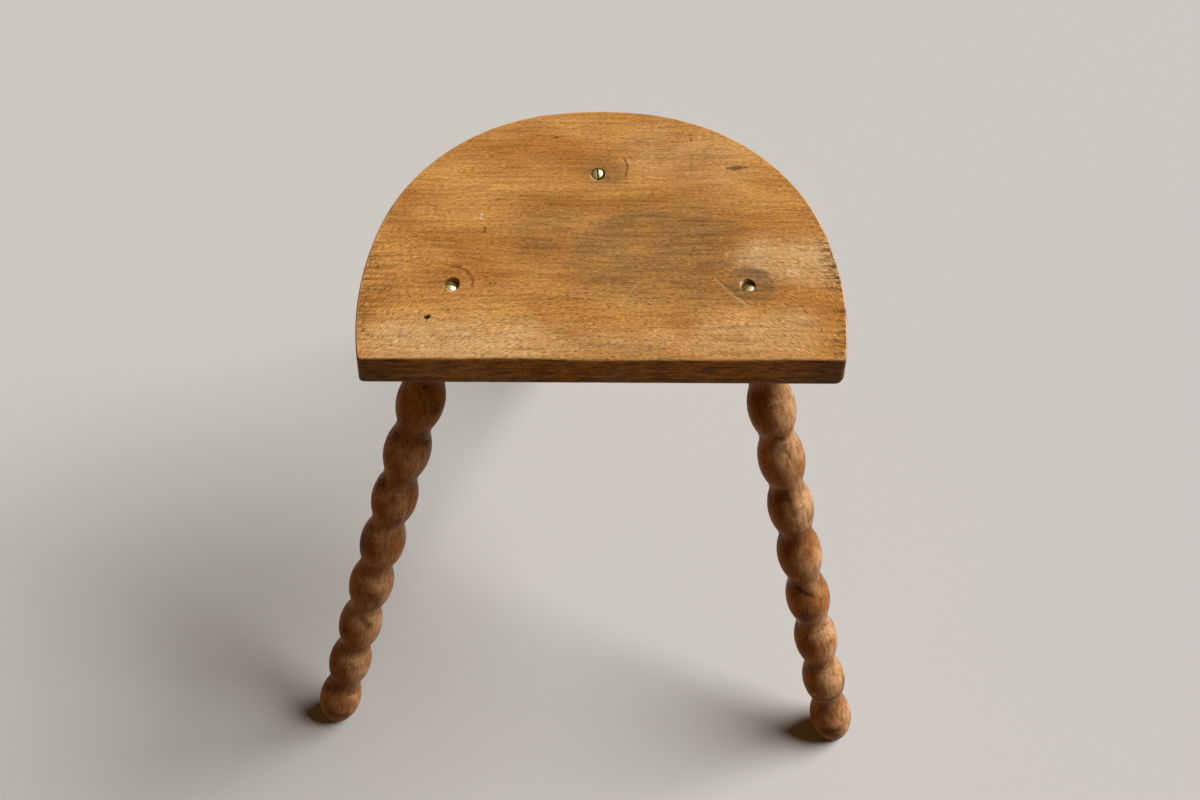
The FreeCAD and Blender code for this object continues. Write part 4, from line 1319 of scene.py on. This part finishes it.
@dataclass
class TurnedLeg:
    """One bobbin-turned leg with its tenon, cut level at the floor and under the seat."""

    PLACE = "along_leg"
    NECK = "neck"

    axis: LegAxis
    slot: str = "leg_wood"
    beads: int = 9
    bead_radius: float = 18.6 * MM
    neck_radius: float = 13.8 * MM
    hollow_radius: float = 25 * MM
    foot_radius: float = 10 * MM
    tenon_radius: float = 9.5 * MM
    tenon_length: float = 18 * MM
    tenon_chamfer: float = 1 * MM
    pilot_radius: float = 2.2 * MM
    uneven_depth: float = 0.22 * MM
    knock_depth: float = 1.2 * MM
    segments: int = 72
    bead_steps: int = 26

    def __post_init__(self) -> None:
        """Work out the leg's length and its bead's arcs."""
        self.node = "leg_" + self.axis.corner.value
        self.frame = self.axis.matrix()
        self.length = self.frame.translation.z / math.cos(self.axis.splay)
        self.pitch = self.length / self.beads
        rise = self.bead_radius - self.neck_radius
        self.swell = ((self.pitch / 2) ** 2 + rise**2) / (2 * rise) - self.hollow_radius
        foot_rise = self.bead_radius - self.foot_radius
        self.round_in = ((self.pitch / 2) ** 2 + foot_rise**2) / (2 * foot_rise)
        self.number = list(Corner).index(self.axis.corner)
        self.seed = Vector((11.0, 5.0, 3.0)) * (1 + self.number)

    def _radius(self, height: float) -> float:
        """Find how thick the leg is turned.

        Args:
            height: the height along the axis from the seat's underside, below 0 on the leg.

        Returns:
            The radius there.
        """
        below = -height
        bead = min(self.beads - 1, max(0, int(below / self.pitch)))
        away = below - (bead + 0.5) * self.pitch
        if bead == self.beads - 1 and away > 0:
            return self.bead_radius - self.round_in + math.sqrt(self.round_in**2 - away**2)
        away = abs(away)
        turn = math.asin(self.pitch / 2 / (self.hollow_radius + self.swell))
        if away < self.swell * math.sin(turn):
            return self.bead_radius - self.swell + math.sqrt(self.swell**2 - away**2)
        inside = self.pitch / 2 - away
        return self.neck_radius + self.hollow_radius - math.sqrt(self.hollow_radius**2 - inside**2)

    def build(self, material: Material) -> Piece:
        """Make the leg.

        Args:
            material: the legs' finish.

        Returns:
            The leg's piece.
        """
        bm = bmesh.new()
        self.place = bm.verts.layers.float_vector.new(self.PLACE)
        self.neck = bm.verts.layers.float.new(self.NECK)
        self._turn(bm)
        self._roughen(bm)
        self._cut(bm)
        bmesh.ops.transform(bm, matrix=self.frame, verts=bm.verts)
        return new_piece(bm, self.node, material)

    def _turn(self, bm: BMesh) -> None:
        """Draw half the leg's outline and spin it round.

        Args:
            bm: the empty mesh.
        """
        over = self.neck_radius * math.tan(self.axis.splay) * 1.5
        count = self.beads * self.bead_steps
        heights = [over - (self.length + 2 * over) * i / count for i in range(count + 1)]
        spin_outline(bm, [(self._radius(height), height) for height in heights], self.segments)

    def _roughen(self, bm: BMesh) -> None:
        """Make the turning uneven, always inside the true outline, and note each place along the leg.

        Args:
            bm: the turned leg.
        """
        rise = self.bead_radius - self.neck_radius
        for vert in bm.verts:
            point = vert.co.copy()
            radius = math.hypot(point.x, point.y)
            uneven = 0.5 + 0.5 * noise.noise(Vector((point.x, point.y, point.z * 0.6)) * 42.0 + self.seed)
            knocks = max(0.0, noise.noise(point * 95.0 + self.seed * 2.0) - 0.42)
            less = self.uneven_depth * uneven + self.knock_depth * knocks
            vert.co.x *= 1 - less / radius
            vert.co.y *= 1 - less / radius
            vert[self.neck] = min(1.0, max(0.0, (self.bead_radius - radius) / rise)) ** 2
            vert[self.place] = Vector((point.z + self.number * LEG_GAP * MM, point.x, point.y))

    def _cut(self, bm: BMesh) -> None:
        """Cut the leg level at the floor and under the seat, and draw out its tenon.

        Args:
            bm: the turned leg, in its own frame.
        """
        level = Matrix.Rotation(self.axis.splay, 3, "Y") @ Vector((0.0, 0.0, 1.0))
        for point, side in ((Vector((0.0, 0.0, 0.0)), 1.0), (Vector((0.0, 0.0, -self.length)), -1.0)):
            geom = bm.verts[:] + bm.edges[:] + bm.faces[:]
            bmesh.ops.bisect_plane(bm, geom=geom, plane_co=point, plane_no=level * side, clear_outer=True)
        open_edges = [e for e in bm.edges if e.is_boundary]
        cap(bm, [e for e in open_edges if e.verts[0].co.z < -self.length / 2])
        loop = [e for e in open_edges if e.verts[0].co.z > -self.length / 2]
        steps = (
            (self.tenon_radius, None), (self.tenon_radius, self.tenon_length - self.tenon_chamfer),
            (self.tenon_radius - self.tenon_chamfer, self.tenon_length),
            (self.pilot_radius, self.tenon_length),
        )
        for radius, height in steps:
            verts, loop = pull(bm, loop)
            for vert in verts:
                flat = Vector((vert.co.x, vert.co.y, 0.0)).normalized() * radius
                rise = height if height is not None else -flat.dot(level) / level.z
                vert.co = Vector((flat.x, flat.y, rise))
        cap(bm, loop)


@dataclass
class WoodScrew:
    """One slotted countersunk screw, sunk below the seat's top."""

    LIT_SIDE = "rub"
    DIRT = "dirt"

    axis: LegAxis
    slot_angle: float
    recess: float
    slot: str = "screw_brass"
    length: float = 50 * MM
    head_radius: float = 4.2 * MM
    shank_radius: float = 2.1 * MM
    shank_length: float = 17 * MM
    thread_radius: float = 1.8 * MM
    point_length: float = 5 * MM
    slot_width: float = 1.2 * MM
    slot_depth: float = 1.3 * MM
    dome: float = 1.1 * MM
    dome_rings: int = 6
    edge: float = 0.25 * MM
    tip_radius: float = 0.2 * MM
    segments: int = 48

    def build(self, material: Material) -> Piece:
        """Make the screw.

        Args:
            material: the brass.

        Returns:
            The screw's piece.
        """
        height = self.axis.thickness / math.cos(self.axis.splay) - self.recess
        place = self.axis.matrix() @ Matrix.Translation((0.0, 0.0, height))
        bm = bmesh.new()
        self._turn(bm)
        self._cut_slot(bm)
        self._rub(bm, place)
        bmesh.ops.transform(bm, matrix=place, verts=bm.verts)
        return new_piece(bm, "screw_" + self.axis.corner.value, material)

    def _turn(self, bm: BMesh) -> None:
        """Spin the screw's outline round its axis.

        Args:
            bm: the empty mesh.
        """
        cone = self.head_radius - self.shank_radius
        flat = self.head_radius - self.edge
        count = self.dome_rings
        points = [(flat * i / count, self.dome * (1 - (i / count) ** 2)) for i in range(1, count)]
        points += [
            (flat, -0.3 * self.edge), (self.head_radius, -self.edge), (self.shank_radius, -cone - self.edge),
            (self.shank_radius, -self.shank_length), (self.thread_radius, -self.shank_length),
            (self.thread_radius, self.point_length - self.length), (self.tip_radius, -self.length),
        ]
        spin_outline(bm, points, self.segments)
        bmesh.ops.holes_fill(bm, edges=[e for e in bm.edges if e.is_boundary])
        bmesh.ops.recalc_face_normals(bm, faces=bm.faces)

    def _rub(self, bm: BMesh, place: Matrix) -> None:
        """Note where the head is painted bright as a highlight, towards the right, and where dirt fills the
        slot.

        Args:
            bm: the slotted screw, in its own frame.
            place: that frame.
        """
        rub = bm.verts.layers.float.new(self.LIT_SIDE)
        dirt = bm.verts.layers.float.new(self.DIRT)
        right = place.to_3x3().inverted() @ Vector((1.0, 0.0, 0.0))
        for vert in bm.verts:
            # Painted highlight: brighter towards the right
            vert[rub] = min(1.0, max(0.0, 0.5 + 0.7 * vert.co.dot(right) / self.head_radius))
            vert[dirt] = 1.0 if vert.co.z < -0.5 * self.slot_depth else 0.0

    def _cut_slot(self, bm: BMesh) -> None:
        """Cut the driver slot across the head.

        Args:
            bm: the turned screw.
        """
        turn = Matrix.Rotation(self.slot_angle - self.axis.bearing, 4, "Z")
        cutter = bmesh.new()
        size = (3 * self.head_radius, self.slot_width, 2 * self.slot_depth)
        bmesh.ops.create_cube(cutter, size=1.0, matrix=turn @ Matrix.Diagonal((*size, 1.0)))
        blank, tool = (bpy.data.meshes.new(name) for name in ("screw_blank", "slot_cutter"))
        bm.to_mesh(blank)
        cutter.to_mesh(tool)
        cutter.free()
        body, knife = (put_in_scene(mesh.name, mesh) for mesh in (blank, tool))
        cut = body.modifiers.new("slot", "BOOLEAN")
        cut.object = knife
        cut.solver = "EXACT"
        depsgraph = bpy.context.evaluated_depsgraph_get()
        slotted = bpy.data.meshes.new_from_object(body.evaluated_get(depsgraph))
        bm.clear()
        bm.from_mesh(slotted)
        for item in (body, knife):
            bpy.data.objects.remove(item)
        for mesh in (blank, tool, slotted):
            bpy.data.meshes.remove(mesh)


@dataclass(frozen=True)
class Lamp:
    """One broad, even light from far away.

    Its way is in degrees round from +X and above the horizon, and its power in watts on a square metre.
    """

    name: str
    bearing: float
    rise: float
    power: float
    colour: Colour
    softness: float = math.radians(40.0)

    def build(self) -> None:
        """Hang the lamp and turn it towards the stool."""
        data = bpy.data.lights.new(self.name, "SUN")
        data.angle = self.softness
        data.energy = self.power
        data.color = self.colour
        turn, lift = math.radians(self.bearing), math.radians(self.rise)
        way = Vector((math.cos(turn) * math.cos(lift), math.sin(turn) * math.cos(lift), math.sin(lift)))
        lamp = put_in_scene(self.name, data)
        lamp.location = way
        lamp.rotation_mode = "QUATERNION"
        lamp.rotation_quaternion = way.to_track_quat("Z", "Y")


@dataclass(frozen=True)
class Studio:
    """A plain pale floor, soft light from the right and the photograph's camera."""

    camera_place: tuple[float, float, float] = (5.48 * MM, -690.75 * MM, 1468.8 * MM)
    camera_pitch: float = math.radians(61.584)
    camera_roll: float = math.radians(-0.797)
    camera_yaw: float = math.radians(0.573)
    lens: float = 49.22
    sensor: float = 36.0
    floor_seen: Colour = (0.62, 0.60, 0.57)
    floor_bounce: Colour = (0.160, 0.068, 0.0110)
    ambient: Colour = (0.036, 0.0185, 0.0040)
    floor_size: float = 30.0
    lamps: tuple[Lamp, ...] = (
        Lamp("key", 20.0, 44.0, 4.2, (1.0, 1.0, 1.0)),
        Lamp("fill", 190.0, 30.0, 0.09, (1.0, 0.52, 0.14)),
    )

    def build(self) -> None:
        """Make the camera, the floor and the lights."""
        bpy.context.scene.view_settings.view_transform = "Standard"
        self._camera()
        self._floor()
        for lamp in self.lamps:
            lamp.build()
        self._world()

    def _camera(self) -> None:
        """Place the camera."""
        data = bpy.data.cameras.new("camera")
        data.sensor_width = self.sensor
        data.lens = self.lens
        level = math.cos(self.camera_pitch)
        east, north = math.sin(self.camera_yaw), math.cos(self.camera_yaw)
        ahead = Vector((east * level, north * level, -math.sin(self.camera_pitch)))
        right = Vector((north, -east, 0.0))
        down = ahead.cross(right)
        across = right * math.cos(self.camera_roll) + down * math.sin(self.camera_roll)
        up = right * math.sin(self.camera_roll) - down * math.cos(self.camera_roll)
        turn = Matrix((across, up, -ahead)).transposed().to_4x4()
        camera = put_in_scene("camera", data)
        camera.matrix_world = Matrix.Translation(self.camera_place) @ turn
        bpy.context.scene.camera = camera

    @staticmethod
    def _seen(canvas: Canvas) -> Socket:
        """Tell what is seen from what only throws light.

        Args:
            canvas: the canvas of the floor or the world.

        Returns:
            1 for what is seen straight, in mirrors or through glass, and 0 for soft light.
        """
        path = canvas.add("ShaderNodeLightPath")
        seen = canvas.math("MAXIMUM", path.outputs["Is Camera Ray"], path.outputs["Is Glossy Ray"])
        return canvas.math("MAXIMUM", seen, path.outputs["Is Transmission Ray"])

    def _floor(self) -> None:
        """Lay the floor, pale to the eye and as dim as boards in the light that it throws back."""
        bm = bmesh.new()
        bmesh.ops.create_grid(bm, x_segments=1, y_segments=1, size=self.floor_size / 2)
        mesh = bpy.data.meshes.new("floor")
        bm.to_mesh(mesh)
        bm.free()
        material, canvas, shader = new_material("floor")
        colour = canvas.mix(self._seen(canvas), self.floor_bounce, self.floor_seen)
        canvas.give(shader, {"Base Color": colour, "Roughness": 0.9, "Specular IOR Level": 0.1})
        mesh.materials.append(material)
        floor = put_in_scene("floor", mesh)

    def _world(self) -> None:
        """Give the world a dim even light and a pale look."""
        world = bpy.data.worlds.new("studio")
        world.use_nodes = True
        bpy.context.scene.world = world
        canvas = Canvas(world.node_tree)
        colour = canvas.mix(self._seen(canvas), self.ambient, self.floor_seen)
        canvas.give(world.node_tree.nodes["Background"], {"Color": colour})


def main() -> None:
    """Build the stool's pieces and the studio."""
    noise.seed_set(NOISE_SEED)
    logging.basicConfig(level=logging.INFO, format="%(name)s: %(message)s")
    SharedEffects().build()
    seat = SeatBoard()
    axes = seat.axes()
    seat.build(axes)
    leg_wood = LegFinish().material()
    brass = BrassFinish().material()
    for axis, slot_angle in zip(axes, SLOT_ANGLES):
        TurnedLeg(axis).build(leg_wood)
        WoodScrew(axis, math.radians(slot_angle), seat.recess_depth).build(brass)
    Studio().build()


if __name__ == "__main__":
    main()
